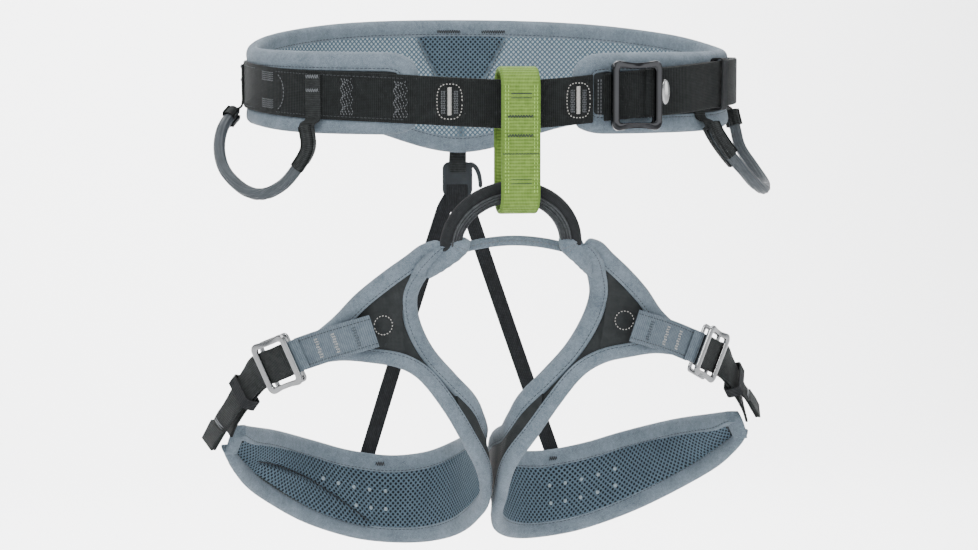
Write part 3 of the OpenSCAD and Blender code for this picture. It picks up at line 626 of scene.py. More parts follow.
def belt():
    # Padding: dark fabric outside, mesh inside, crowned between its bindings
    a = np.linspace(START + TRIM - 0.6, END - TRIM + 0.6, 190)
    f = np.linspace(0, 1, 25)
    zt, zb = top_z(a) - TAPE_W + 1.2, low_z(a) + TAPE_W - 1.2
    z = zb[:, None] + (zt - zb)[:, None] * f[None]
    crown = (4 * f * (1 - f))[None] ** 0.6
    x = arc_mm(a)[:, None]
    # sewn lines that run down either side of the back panel press into the lining
    def panel_line(height):
        level = (height - web_z(a)[:, None] + PANEL_FOOT) / PANEL_H
        return PANEL_HALF + PANEL_GROWTH * np.clip(level, -0.6, 1.2)

    groove = np.exp(-((np.abs(x) - panel_line(z)) / 1.6) ** 2) * (z > -34)
    inner = belt_point(a[:, None], z, -PAD_T - 1.3 * crown + 1.5 * groove)
    outer = belt_point(a[:, None], z, 0 * z - 0.35 + 0.25 * crown)
    P = np.concatenate([outer, inner[:, ::-1]], 1)
    m = len(f)
    Z = np.concatenate([z, z[:, ::-1], z[:, :1]], 1)
    X = np.broadcast_to(x, Z.shape)
    past_panel = np.abs(X) - panel_line(Z) + 28  # painted light seen through the lining's holes starts past 28
    verts, faces, coords, mats = grid(P, X, Z, past_panel, mat_of=lambda i, j: 1 if j >= m else 0)
    pad = obj("waist_padding", verts, faces, coords, [OUTER, MESH_BELT], mats, sharp=60)
    put(pad, "belt", "lining_mesh", "waist_foam", "waist_lining", "waist_cover")
    # Seams of the back panel
    for sgn in (-1, 1):
        k = np.linspace(-0.55, 0.92, 60)
        ang = 180 + sgn * np.degrees((PANEL_HALF + PANEL_GROWTH * k) / HALF_W)
        zz = web_z(ang) - PANEL_FOOT + PANEL_H * k
        n = -belt_normal(ang)
        belt_dark.seam(belt_point(ang, zz, -PAD_T - 0.3), n, 2.6, 1.9, 0.3)
        belt_dark.seam(belt_point(ang + sgn * 1.2, zz, -PAD_T - 1.2), n, 2.6, 1.9, 0.3)

    # Edge tape, all the way round
    aa = np.linspace(START, END, 250)
    inner_a = np.clip(aa, START + TRIM, END - TRIM)
    past = np.abs(aa - inner_a) / TRIM
    squeeze = inner_a + np.where(aa < 180, -0.4, 0.4) * past
    up = (aa, top_z(aa), squeeze, top_z(inner_a) - TAPE_W - 1.2 * past)
    down = (aa[::-1], low_z(aa)[::-1], squeeze[::-1], (low_z(inner_a) + TAPE_W + 1.2 * past)[::-1])
    # rows down both upright ends, so that they are as fine as the rest
    tall = np.linspace(0, 1, 10)[1:-1]

    def upright(p, q):
        return tuple(p[i][-1] + (q[i][0] - p[i][-1]) * tall for i in range(4))

    loops = (up, upright(up, down), down, upright(down, up))
    ea, ez, ia, iz = (np.concatenate([part[i] for part in loops]) for i in range(4))

    def at(k, share, t):
        return belt_point(ea[k] + (ia[k] - ea[k]) * share, ez[k] + (iz[k] - ez[k]) * share, -t)

    tape = bound_edge("waist_binding", at, len(ea), PAD_T, True)
    put(tape, "belt", "edge_tape", "waist_edge_tape")
    k = np.arange(len(ea))
    for t, sign in ((-0.05, 1), (PAD_T + 0.05, -1)):
        ring = close(at(k, np.full(len(k), 0.85), np.full(len(k), t)))
        belt_dark.seam(ring, close(sign * belt_normal(ea)), 2.6, 2.0, 0.22, 0.08)

    # Dark bartacks on the top of the back binding and the bottom of the rear tab
    for ang in np.array([188.5, 176.5]):
        n = belt_normal(ang)
        p = belt_point(ang, top_z(ang) - 7.5, -PAD_T - 0.5)
        belt_dark.bartack(p, unit(np.cross(n, UPWARD)), UPWARD, -n, 15, 2.6)
    back = np.array(180.0)
    belt_dark.bartack(belt_point(back, low_z(back) + 5, 0.7), RIGHTWARD, UPWARD, belt_normal(back), 9, 3)


TAIL_END = 264.0


def web_out(a):
    return 0.3 + 1.9 * ramp(a, 246, 262)


def tail_out(a):
    return web_out(a) + 2.3 + 0.6 * ramp(a, 280, 296) + 3.3 * ramp(a, 308, 322)


def on_belt(a, z, out):
    """Matrix (in mm) of a place flat against the belt: X along it to the right, Y up, Z out."""
    p, n = belt_point(a, z, out), belt_normal(np.array(float(a)))
    x = unit(np.cross([0, 0, 1.0], n))
    return np.column_stack([x, [0, 0, 1], n, p])


def place(M, pts):
    pts = np.asarray(pts, float)
    return pts @ M[:, :3].T + M[:, 3]


def web_face(a, dz, out):
    """A point of the waist webbing, dz above its middle line."""
    a = np.asarray(a, float)
    return belt_point(a, web_z(a) + dz, out)


def belt_strap(name, lo, hi, steps, out_of, w=WEB_W, t=2, nodes=()):
    """Webbing along the belt from angle lo to hi, its middle out_of(angle) from the padding."""
    a = np.linspace(lo, hi, steps)
    O = belt_point(a, web_z(a), out_of(a))
    put(strap(name, O, like(UPWARD, O), belt_normal(a), w, t, BLACK, 12), "belt", "black_webbing", *nodes)


def belt_webs():
    belt_strap("waist_webbing", -16, 332, 400, lambda a: web_out(a) + 1, nodes=["waist_webbing"])
    # Its doubled stretch behind the belay loop
    belt_strap("tie_in_webbing", -10.5, 22.5, 40, lambda a: -1.3 + 0 * a, 27, 1.9, ["tie_in_facing"])
    # Tail from the buckle to its doubled end, with the fold standing clear at the far end
    belt_strap("waist_strap_tail", 332, TAIL_END, 120, lambda a: tail_out(a) + 1, nodes=["waist_strap_tail"])
    belt_strap("waist_tail_fold", 272.5, TAIL_END, 20, lambda a: tail_out(a) + 2.9, t=1.9)
    # Rounded nose of the folded end
    M = on_belt(TAIL_END, float(web_z(TAIL_END)), 0)
    mid = float(tail_out(TAIL_END)) + 2.0
    t = np.radians(np.linspace(-90, 90, 9))
    O = place(M, np.stack([np.cos(t), 0 * t, mid + np.sin(t)], 1))
    N = unit(O - place(M, [(0, 0, mid)])[0])
    put(strap("waist_tail_nose", O, like(UPWARD, O), N, WEB_W, 1.8, BLACK, 12), "belt", "black_webbing")
    # Webbing that turns round the buckle's left bar
    belt_strap("waist_buckle_webbing_1", -32.5, -18.6, 30, lambda a: 3.2 + 0 * a, 27.4, 1.7)
    belt_strap("waist_buckle_webbing_2", -31, -19.4, 30, lambda a: 7.6 - 4.4 * ramp(a, -24, -19.4), 27.4, 1.7)

    # Long edge seams
    for lo, hi in ((27, 66), (76, 112), (120, 240)):
        ang = np.linspace(lo, hi, 120)
        for dz in (-11.8, 11.8):
            belt_dark.seam(web_face(ang, dz, 2.32), belt_normal(ang), 2.4, 1.8, 0.24, 0.15)
    # Wavy columns of the load-bearing seams
    for ang0 in (28, 41.5, 112, 124, 150, 210, 236):
        dz = np.linspace(-11, 11, 50)
        for i, shift in enumerate((-1.5, -0.7, 0.0, 0.6, 1.1)):
            ang = ang0 + shift + 0.35 * np.sin(dz * 0.9 + i)
            belt_grey.seam(web_face(ang, dz, 2.32), belt_normal(ang), 1.9 - 0.1 * i, 1.15,
                           0.2 + 0.02 * i, 0.12)
    # Two blocks of wavy rows, and an arc beside them, at the left side
    for mid in (-7.6, 8.4):
        for row in range(5):
            k = np.linspace(0, 1, 40)
            ang = 66 + 6.5 * k
            dz = mid + (row - 2) * 1.15 + 0.5 * np.sin(k * math.pi * 12)
            belt_grey.seam(web_face(ang, dz, 2.32), belt_normal(ang), 1.8, 1.2, 0.24, 0.15)
    k = np.radians(np.linspace(-70, 70, 50))
    ang = 65.5 - 4 * np.cos(k)
    belt_grey.seam(web_face(ang, 11 * np.sin(k), 2.32), belt_normal(ang), 2.2, 1.6, 0.28, 0.2)
    # Oval seams with a white bartack, either side of the belay loop
    for ang0 in (16.6, -12.4):
        M = on_belt(ang0, float(web_z(np.array(float(ang0)))), 2.4)
        t = np.linspace(0, 2 * math.pi, 90)
        ring = place(M, np.stack([7.2 * np.sign(np.cos(t)) * np.abs(np.cos(t)) ** 0.6,
                                  10 * np.sign(np.sin(t)) * np.abs(np.sin(t)) ** 0.75, 0 * t], 1))
        belt_white.seam(ring, np.broadcast_to(M[:, 2], ring.shape), 1.9, 1.0, 0.32, 0.2)
        for dx in (-4.6, -3.7, -2.8, 2.8, 3.7, 4.6):
            dz = np.linspace(-7.2, 7.2, 30)
            line = place(M, np.stack([dx + 0.3 * np.sin(dz * 2.5), dz, 0 * dz], 1))
            belt_grey.seam(line, np.broadcast_to(M[:, 2], line.shape), 1.5, 1.2, 0.24, 0.14)
        for dz in np.linspace(-7.6, 7.6, 21):
            ends = place(M, [(-1.3, dz, 0), (1.3, dz + 0.25, 0)])
            belt_white.stitch(ends[0], ends[1], M[:, 2], 0.42, 0.35)
    # Columns beside the buckle
    for ang0 in (-17.2, -17.9):
        dz = np.linspace(-11, 11, 40)
        belt_grey.seam(web_face(ang0 + 0 * dz, dz, 2.4), belt_normal(ang0 + 0 * dz), 2.0, 1.5, 0.3, 0.2)


def bar_frame(name, M, w, h, bar, t, r_out, r_in, mat, dip=0.0):
    """Metal frame swept round a rounded rectangle: window w by h. dip hollows its top and bottom rails."""
    n = 120
    _, outer, inner = evenly(rounded(w + 2 * bar, h + 2 * bar, r_out, 9), n, rounded(w, h, r_in, 9))
    q = []
    for k in np.linspace(0, 360, 20, endpoint=False):
        c, z = math.cos(math.radians(k)), math.sin(math.radians(k))
        q.append((0.5 + 0.5 * math.copysign(abs(c) ** 0.55, c), 0.5 * t * math.copysign(abs(z) ** 0.55, z)))
    q = np.array(q)
    XY = inner[:, None] + (outer - inner)[:, None] * q[None, :, :1]
    Z = np.broadcast_to(q[None, :, 1], XY.shape[:2]).copy()
    if dip:
        top = ramp(np.abs(XY[..., 1]), h / 2 - 2, h / 2 + bar)
        hollow = dip * top * np.cos(np.clip(XY[..., 0] / (w / 2 + bar), -1, 1) * math.pi / 2) ** 2
        XY[..., 1] -= np.sign(XY[..., 1]) * hollow
        Z = Z - 0.8 * hollow * (q[None, :, 1] > 0)
    P = place(M, np.concatenate([XY, Z[..., None]], -1).reshape(-1, 3)).reshape(n, len(q), 3)
    return shell(name, P, np.linspace(0, 120, n + 1)[:, None], np.linspace(0, 20, len(q) + 1)[None], 0,
                 mat, wrap_i=True)


BUCKLE_A, BUCKLE_Z = 335.0, -8.0
BASE_OUT = 0.3 + 1.9 + 2 + 0.3
FRAME_OUT = BASE_OUT + 2.2 + 2 + 2.1


def belt_hardware():
    M = on_belt(BUCKLE_A, BUCKLE_Z, BASE_OUT + 1.1)
    M[:, 3] += 2.5 * M[:, 0]
    o = bar_frame("waist_buckle_base", M, 25, 32, 3.5, 2.2, 3.5, 1.5, DARK_METAL, dip=0.6)
    put(o, "belt", "dark_buckle", "waist_buckle_base")
    M = on_belt(BUCKLE_A, BUCKLE_Z, FRAME_OUT + 1.5)
    o = bar_frame("waist_buckle_frame", M, 25, 32, 4.5, 3.0, 5, 2, DARK_METAL, dip=1.7)
    put(o, "waist_buckle", "dark_buckle", "waist_buckle_frame")
    # Oval lug
    M = on_belt(BUCKLE_A, BUCKLE_Z + 2, FRAME_OUT + 1.5)
    M[:, 3] += 19.6 * M[:, 0]
    rings = []
    t = np.linspace(0, 2 * math.pi, 28, endpoint=False)
    for k in np.radians(np.linspace(-90, 90, 11)):
        c = max(math.cos(k), 0.03)
        rings.append(place(M, np.stack([3.0 * c * np.cos(t), 7.4 * c * np.sin(t),
                                        1.3 * math.sin(k) + 0 * t], 1)))
    P = np.array(rings)
    o = shell("waist_buckle_lug", P, np.arange(11)[:, None], np.arange(29)[None], 0, LUG_METAL)
    put(o, "waist_buckle", "lug_metal", "waist_buckle_lug")
    # Elastic keeper round webbing and tail, leaning a little
    a0 = 302.0
    M = on_belt(a0, float(web_z(np.array(a0))), 0)
    depth = 6.4
    centre = 2.2 - 0.5 + depth / 2
    ring = []
    for x, y, start in ((14.5, depth / 2, 0), (-14.5, depth / 2, 90),
                        (-14.5, -depth / 2, 180), (14.5, -depth / 2, 270)):
        for q in np.radians(np.linspace(start, start + 90, 7)):
            ring.append((x - math.copysign(1.2, x) + 1.9 * math.cos(q),
                         y - math.copysign(1.2, y) + 1.9 * math.sin(q)))
    total, ring, nor, section = keeper_band(np.array(ring), 90, 3.5, 3.8, 0.55, 7)
    rows = [[(x + 0.055 * p[0], p[0] + q[0] * y, centre + p[1] + q[1] * y) for x, y in section]
            for p, q in zip(ring, nor)]
    P = place(M, np.array(rows).reshape(-1, 3)).reshape(len(ring), len(section), 3)
    V = close(np.array([x for x, _ in section]))
    o = shell("waist_keeper", P, np.linspace(0, total, len(ring) + 1)[:, None], V[None], 0,
              ELASTIC, 50, wrap_i=True)
    put(o, "waist_keeper", "elastic", "waist_keeper")


# ---------------------------------------------------------------- gear loops, rear tab and hook
GEAR_FRONT = np.array([-122, -70, -26.0])
GEAR_REAR = np.array([-157, 5, -19.0])
GEAR_ROUTE = [GEAR_FRONT, [-121, -72, -38], [-126, -66, -49], [-134, -58, -60], [-145, -50, -66],
              [-155, -40, -64], [-165, -28, -54], [-168, -18, -41], [-165, -8, -28], GEAR_REAR]
GEAR_ROUTE_RIGHT = [GEAR_FRONT, [-125, -73, -33], [-132, -74, -43], [-142, -70, -53], [-153, -60, -62],
                    [-163, -46, -66], [-168, -30, -63], [-166, -15, -54], [-161, -3, -42], [-159, 2, -30],
                    GEAR_REAR]


def gear_loops():
    for name, route, mirror in (("left", GEAR_ROUTE, 1), ("right", GEAR_ROUTE_RIGHT, -1)):
        P = spline(route, dense(route, 2.0)) * [mirror, 1, 1]
        n = len(P)
        k = np.arange(n) / (n - 1)
        r = 3.5 - 0.5 * ramp(np.abs(k - 0.5), 0.42, 0.5)
        o = tube("gear_loop_" + name, P, r, [0.94 * mirror, -0.34, 0], GEAR, sides=48, ribs=9)
        put(o, "gear_loop_" + name, "gear_loop_plastic", "gear_loop_" + name)
        # collars where the moulding is bonded to the webbing core
        for i, (lo, hi) in enumerate(((0.0, 0.2), (0.0, 0.16), (0.92, 1.0), (0.93, 1.0))):
            m = (k >= lo) & (k <= hi)
            T = unit(np.gradient(P[m], axis=0))
            N = unit(np.cross(T, [0.42 * mirror, 0.9, 0.08]))
            N = N * (1 if N[0] @ [mirror, 0, 0] < 0 else -1)
            A = np.cross(N, T)
            half = -1 if i % 2 else 1
            c = strap("gear_strip_%s_%d" % (name, i + 1), P[m] + A * 2.3 * half - N * 0.3 * half,
                      A, N, 4.9, 7.9, BLACK_LEG, 6)
            put(c, "gear_loop_" + name, "gear_loop_plastic")
    # Webbing tabs that hold the ends
    for name, mirror, out in (("left", 1, 2.9), ("right", -1, 0.3)):
        flat, off = np.array([mirror, 1, 1]), 0.05 if mirror > 0 else 0.6
        for i, p in enumerate((GEAR_FRONT, GEAR_REAR)):
            a = math.degrees(math.atan2(-p[0] / HALF_W, -p[1] / HALF_D))
            zt = float(web_z(np.array(a))) + (12 if mirror > 0 else 11)
            N0 = belt_normal(np.array(a))
            O = belt_point(np.full(3, a), np.array([zt, zt - 12, p[2] + 5]),
                           out + off + np.array([0, 0, 0.2]))
            O = np.vstack([O, p + [0, 0, 1.5] + N0 * -1.5, p + N0 * 0.2 + [0, 0, -3]])
            route = spline(O, np.linspace(0, len(O) - 1, 30))
            A = unit(np.cross(UPWARD, N0))
            N = unit(np.cross(A, unit(np.gradient(route, axis=0))))
            N = N * np.sign((N @ N0))[:, None]
            o = strap("gear_tab_%s_%d" % (name, i + 1), route * flat, like(A * flat, route), N * flat,
                      10.5, 1.2, BLACK_LEG, 6)
            put(o, "belt", "black_webbing", *(["gear_tabs_" + name] if i == 0 else []))
            if mirror > 0:
                for dz in (-1.5, -9.5):
                    belt_grey.bartack(belt_point(a, zt + dz, out + 0.7), A, UPWARD, N0, 8.5, 2.2, 0.8, 0.28)


REAR_Y = HALF_D + 2.5


def flat_plate(name, outline, holes, thick, M, mat, bevel=0.5):
    """Plate cut to an outline, with rounded edges, from filled curves."""
    cu = bpy.data.curves.new(name, "CURVE")
    cu.dimensions = "2D"
    cu.fill_mode = "BOTH"
    cu.extrude = (thick / 2 - bevel) * MM
    cu.bevel_depth = bevel * MM
    cu.bevel_resolution = 3
    for pts in [outline] + holes:
        sp = cu.splines.new("POLY")
        sp.points.add(len(pts) - 1)
        for p, (x, y) in zip(sp.points, pts):
            p.co = (x * MM, y * MM, 0, 1)
        sp.use_cyclic_u = True
    tmp = bpy.data.objects.new(name + "_c", cu)
    bpy.context.collection.objects.link(tmp)
    bpy.context.view_layer.update()
    me = bpy.data.meshes.new_from_object(tmp.evaluated_get(bpy.context.evaluated_depsgraph_get()))
    bpy.data.objects.remove(tmp)
    rows = [[*(float(M[r, c]) for c in range(3)), float(M[r, 3]) * MM] for r in range(3)]
    me.transform(Matrix(rows + [[0, 0, 0, 1]]))
    bm = bmesh.new()
    bm.from_mesh(me)
    bmesh.ops.remove_doubles(bm, verts=bm.verts, dist=1e-6)
    bmesh.ops.recalc_face_normals(bm, faces=bm.faces)
    bm.to_mesh(me)
    bm.free()
    at = me.attributes.new("mm", "FLOAT_VECTOR", "CORNER")
    co = np.array([me.vertices[l.vertex_index].co for l in me.loops], np.float32) / MM
    at.data.foreach_set("vector", co.ravel())
    me.materials.clear()
    me.materials.append(mat)
    me.shade_smooth()
    me.set_sharp_from_angle(angle=math.radians(40))
    o = bpy.data.objects.new(name, me)
    bpy.context.collection.objects.link(o)
    return o


def rear_parts():
    # The hook's plate stands upright, its face to the front
    M = np.column_stack([[1, 0, 0], [0, 0, 1], [0, -1, 0], [0, REAR_Y + 2.5, -66]]).astype(float)
    slots = [rounded(11, 3, 1.2, 7, 0, 6), rounded(13, 3, 1.2, 7, 0, -5)]
    plate = flat_plate("rear_hook_plate", rounded(19, 22, 4, 7), slots, 2.4, M, HOOK)
    put(plate, "belt", "hook_plastic", "rear_hook")
    finger = place(M, [(7, 9.2, 0), (9.5, 9.6, 0), (12.4, 7.6, 0), (14.4, 3.5, 0),
                       (15.4, -1.5, 0), (15.6, -6, 0)])
    s = np.linspace(0, 5, 30)
    o = tube("rear_hook_finger", spline(finger, s), 1.75 - 0.35 * s / 5, [0, 1, 0], HOOK, flat=0.8, sides=14)
    put(o, "belt", "hook_plastic")
    # Tab: down from the belt, through the hook's upper slot and back up behind it
    route = np.array([[0, REAR_Y - 1.4, -40], [0, REAR_Y, -46], [0, REAR_Y + 0.2, -56],
                      [0, REAR_Y + 1.2, -60.4], [0, REAR_Y + 3.0, -61.6], [0, REAR_Y + 4.6, -59.4],
                      [0, REAR_Y + 3.9, -53], [0, REAR_Y + 1.7, -46.5]])
    sp = spline(route, dense(route, 1.2))
    T = unit(np.gradient(sp, axis=0))
    A = like(RIGHTWARD, sp)
    o = strap("rear_tab", sp, A, np.cross(A, T), 11, 1.3, BLACK_LEG, 6)
    put(o, "belt", "black_webbing", "rear_tab")
    belt_dark.bartack([0, REAR_Y + 1.0, -44.5], RIGHTWARD, UPWARD, -FORWARD, 8, 2)
    # Webbing through the hook's lower slot, where the two elastic straps start
    route = np.array([[-0.6, REAR_Y + 5.4, -73], [-0.6, REAR_Y + 4.9, -69.4], [-0.6, REAR_Y + 3.2, -68.6],
                      [-0.6, REAR_Y + 1.0, -71.5], [-0.8, REAR_Y + 1.0, -78], [-0.9, REAR_Y + 1.2, -88]])
    sp = spline(route, dense(route, 1.2))
    A = like(RIGHTWARD, sp)
    o = strap("rear_crown", sp, A, np.cross(A, unit(np.gradient(sp, axis=0))), 14.5, 1.3, ELASTIC, 6)
    put(o, "belt", "elastic")
    # Elastic straps to the backs of the leg loops
    for name, side in (("left", -1), ("right", 1)):
        top = np.array([side * 5.4 - 1, REAR_Y + 2.5, -77.5])
        foot = np.array([side * 61 - 3, 86, -243.0])
        route = np.array([[side * 2.0 - 0.5, REAR_Y + 2.9, -69.5], top, top + (foot - top) * 0.33 + [0, 2, 0],
                          top + (foot - top) * 0.66 + [0, 2, 0], foot, foot + (foot - top) * 0.03])
        sp = spline(route, dense(route, 3))
        N = like(-FORWARD, sp)
        A = unit(np.cross(N, unit(np.gradient(sp, axis=0))))
        k = lengths(sp) / lengths(sp)[-1]
        o = strap("rear_strap_" + name, sp, A, N, 10, 1.5, ELASTIC, taper=0.55 + 0.45 * ramp(k, 0.02, 0.1))
        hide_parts("rear_strap_" + name)
        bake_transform(o)


# ---------------------------------------------------------------- belay loop and bridge
LOOP_X, LOOP_TOP, LOOP_LEN, LOOP_W, LOOP_T, LOOP_D = -4.0, 9.0, 85.0, 23.0, 3.0, 25.0
LOOP_Y = -HALF_D - 0.5
LOOP_LOW = LOOP_TOP - LOOP_LEN


def belay():
    r = LOOP_D / 2 - LOOP_T / 2
    zt, zb = LOOP_TOP - LOOP_D / 2, LOOP_LOW + LOOP_D / 2
    pts, nor = [], []
    straight = np.linspace(0, 1, 41)[1:-1]
    for way, start, end, first in ((-1, zt, zb, 0), (1, zb, zt, 180)):
        for a in np.radians(np.linspace(first, first + 180, 33)):
            pts.append((LOOP_X, LOOP_Y + r * math.cos(a), start + r * math.sin(a)))
            nor.append((0, math.cos(a), math.sin(a)))
        for k in straight:
            pts.append((LOOP_X, LOOP_Y + way * r, start + (end - start) * k))
            nor.append((0, way, 0))
    O, N = np.array(pts), np.array(nor, float)
    U = lengths(close(O))
    q = profile(LOOP_W, LOOP_T - 0.1, 12)
    # The overlapped end stands a little proud on the front
    proud = 0.25 * (N[:, 1] < -0.9) * ((O[:, 2] > -58) & (O[:, 2] < -40))
    P = O[:, None] + q[None, :, :1] * RIGHTWARD + q[None, :, 1:] * N[:, None]
    P = P + ((q[:, 1] > 0)[None] * proud[:, None])[..., None] * N[:, None]
    c = close(q)
    o = shell("belay_loop", P, U[:, None], c[None, :, 0], c[None, :, 1], GREEN, 50, wrap_i=True)
    put(o, "belay_loop", "belay_webbing", "belay_loop")
    light = Threads("belay_loop_stitching", GREEN_THREAD, "belay_loop", "belay_webbing")
    dark = Threads("belay_loop_bartacks", DARK_THREAD, "belay_loop", "belay_webbing")
    front = LOOP_Y - LOOP_D / 2
    for x in (-9.3, -7.6, 7.6, 9.3):
        line = [(LOOP_X + x, front, z) for z in np.linspace(zt + 2, zb - 2, 60)]
        light.seam(line, like(FORWARD, line), 2.3, 1.6, 0.26, 0.2)
    for z, w, h in ((-19.5, 15, 1.9), (-30.5, 15, 1.9), (-41, 20, 0.9)):
        dark.bartack([LOOP_X - 0.3, front, z], RIGHTWARD, UPWARD, FORWARD, w, h, 0.8, 0.26)
    # Plain cross lines near both ends
    for z in (-6.5, -9, -55.5, -58):
        x = np.linspace(-6, 6, 25)
        line = np.stack([LOOP_X + x, front - 0.03 + 0 * x, z + 0 * x], 1)
        dark.seam(line, like(FORWARD, line), 0.8, 0.82, 0.3, 0.05)
    light.make()
    dark.make()


def ramp_shift(y):
    return LOOP_X * ramp(-np.asarray(y), 10, 50)


FOOT = np.array([35.5, -97, -95.0])
BRIDGE_D = 12
BRIDGE_TOP = LOOP_LOW + LOOP_T + 0.3 + BRIDGE_D + 3.2


def bridge_point(k, out):
    c, s = np.cos(np.radians(k)), np.sin(np.radians(k))
    P = np.stack([(FOOT[0] + out) * c - 2, FOOT[1] + (LOOP_Y - FOOT[1]) * s,
                  FOOT[2] + (BRIDGE_TOP - BRIDGE_D / 2 - FOOT[2] + out) * s], -1)
    P[..., 0] += ramp_shift(P[..., 1])
    return P


def bridge():
    k = np.linspace(-6, 186, 70)
    o = tube("bridge_tubing", bridge_point(k, 3.0) - [0, 0.6, 0], 3.7, [0, 1, 0], TUBING, flat=0.9, sides=24)
    put(o, "legs", "bridge_tubing", "bridge_sleeve")
    # Folded webbing under it, in four layers on edge
    for i, (out, w, y) in enumerate(((-0.6, 7.8, 0.0), (-2.1, 7.6, 0.2), (-3.6, 7.3, 0.4), (-5.1, 6.6, 0.5))):
        P = bridge_point(k, out) + [0, y, 0]
        T = unit(np.gradient(P, axis=0))
        A = like(-FORWARD, P)
        A = unit(A - (A * T).sum(1)[:, None] * T)
        o = strap("bridge_webbing_%d" % (i + 1), P, A, np.cross(T, A), w, 1.6, PINSTRIPE, 6)
        put(o, "legs", "black_webbing", *(["bridge_webbing"] if i == 0 else []))


def foot_cuff(side):
    """Binding gathered round a foot of the bridge."""
    at = [bridge_point(np.array(k), 0.2) - [seat([0, y, 0], 1)[0], 0, 0]
          for k, y in ((8.0, -101), (1.0, -98))]
    route = np.array([*at, [38.5, -96.5, -100], [44.5, -90, -107], [48.5, -83.5, -113.5]])
    s = dense(route, 1.2)
    O = spline(route, s)
    T = unit(np.gradient(O, axis=0))
    face = unit(np.array([0.25, -1.0, 0.1]))
    A = unit(np.cross(face, T))
    N = np.cross(T, A)
    half = np.interp(s, [0, 0.25, 1.5, 3, 4], [7.0, 7.5, 6.8, 4.6, 1.5])
    deep = np.interp(s, [0, 0.25, 1.5, 3, 4], [4.9, 5.2, 4.4, 3.2, 1.2])
    ang = np.linspace(0, 2 * math.pi, 36, endpoint=False)
    d = lengths(O)
    lip = np.sqrt(np.clip(1 - (1 - np.clip(d / 1.6, 0, 1)) ** 2, 0.55, 1))
    fold = 1 + 0.03 * np.sin(d * 1.1)[:, None] * np.cos(3 * ang)[None]
    P = O[:, None] + (lip * half)[:, None, None] * (fold * np.cos(ang)[None])[..., None] * A[:, None] \
        + (lip * deep)[:, None, None] * (fold * np.sin(ang)[None])[..., None] * N[:, None]
    o = shell("bridge_foot_" + TAG[side], seat(P, side), d[:, None], np.linspace(0, 44, 37)[None], 0,
              VELOUR, 70)
    put(o, "legs", "edge_tape")
    for i in (3, 5):
        front = [j for j in range(len(ang)) if (N[i] @ face) * np.sin(ang[j]) > 0.15]
        ring = P[i][front]
        leg_grey.seam(seat(ring, side), flip(unit(ring - O[i]), side), 1.9, 1.3, 0.24, 0.12)


# ---------------------------------------------------------------- leg loops
UPPER = np.array([[160, -7, -209], [150, 10, -213], [131, 38, -220], [104, 66, -231], [78, 78, -240],
                  [50, 82, -245], [27, 73, -242], [12, 54, -233], [4.5, 15, -220], [4, -18, -211],
                  [6, -36, -202], [12, -46, -189], [25, -51, -175], [39, -55, -159], [48, -61, -142],
                  [51, -69, -127], [47, -80, -114], [41, -93, -103]], float)
LOWER = np.array([[166, -9, -227], [158, 8, -244], [145, 32, -260], [114, 60, -282], [80, 72, -296],
                  [52, 73, -301], [27, 60, -299], [10, 36, -290], [3.5, 5, -275], [3, -18, -261],
                  [8, -40, -238], [21, -56, -215], [34, -62, -195], [48, -64, -178], [62, -66, -169.5],
                  [80, -66, -166], [96, -61, -165], [110, -55, -167]], float)
OUTER_EDGE = np.array([[53, -94, -94], [62, -87, -101.5], [75, -78, -112], [89, -67, -125],
                       [101, -57, -139]], float)
LEG_T, LEG_TAPE, LOW_TAPE, OUT_TAPE, LEG_WEB_W = 6.2, 11.5, 9.5, 10.0, 20.0
BAND_END = 11.4
CENTRE = np.array([129, -43, -166.0])
RUN = unit(np.array([0.63, 0.69, -0.35]))
UP = unit(np.cross(np.cross(RUN, [0.395, 0.12, 0.91]), RUN))
FACE = np.cross(RUN, UP)


def seat(p, side):
    p = np.array(p, float)
    p[..., 0] = side * p[..., 0] + LOOP_X * ramp(-p[..., 1], 10, 50)
    return p


def leg_out(p):
    p = np.asarray(p, float)
    return unit(np.stack([(p[..., 0] - 84) / 82 ** 2, (p[..., 1] - 4) / 78 ** 2, 0 * p[..., 0]], -1))


def tape_inner(edge, s, w, way):
    p = spline(edge, s)
    w = np.asarray(w, float)
    return p + way * (w[..., None] if w.ndim else w) * unit(np.cross(leg_out(p), along(edge, s)))


def upper_w(s):
    return LEG_TAPE - 4 * (1 - ramp(s, 0, 1))


def lower_w(s):
    return LOW_TAPE + 1.5 - 3 * (1 - ramp(s, 0, 1)) - 2.2 * ramp(s, 9, 12)


def strap_face(p):
    k = ramp(np.linalg.norm(np.asarray(p) - CENTRE, axis=-1), 14, 32)[..., None]
    return unit(FACE * (1 - k) + leg_out(p) * k)


def by_buckle(x, out, up=0.0):
    return CENTRE + x * RUN + out * FACE + up * UP


def flip(n, side):
    """A direction of the right leg loop's design, on the side asked for."""
    return np.asarray(n, float) * [side, 1, 1]


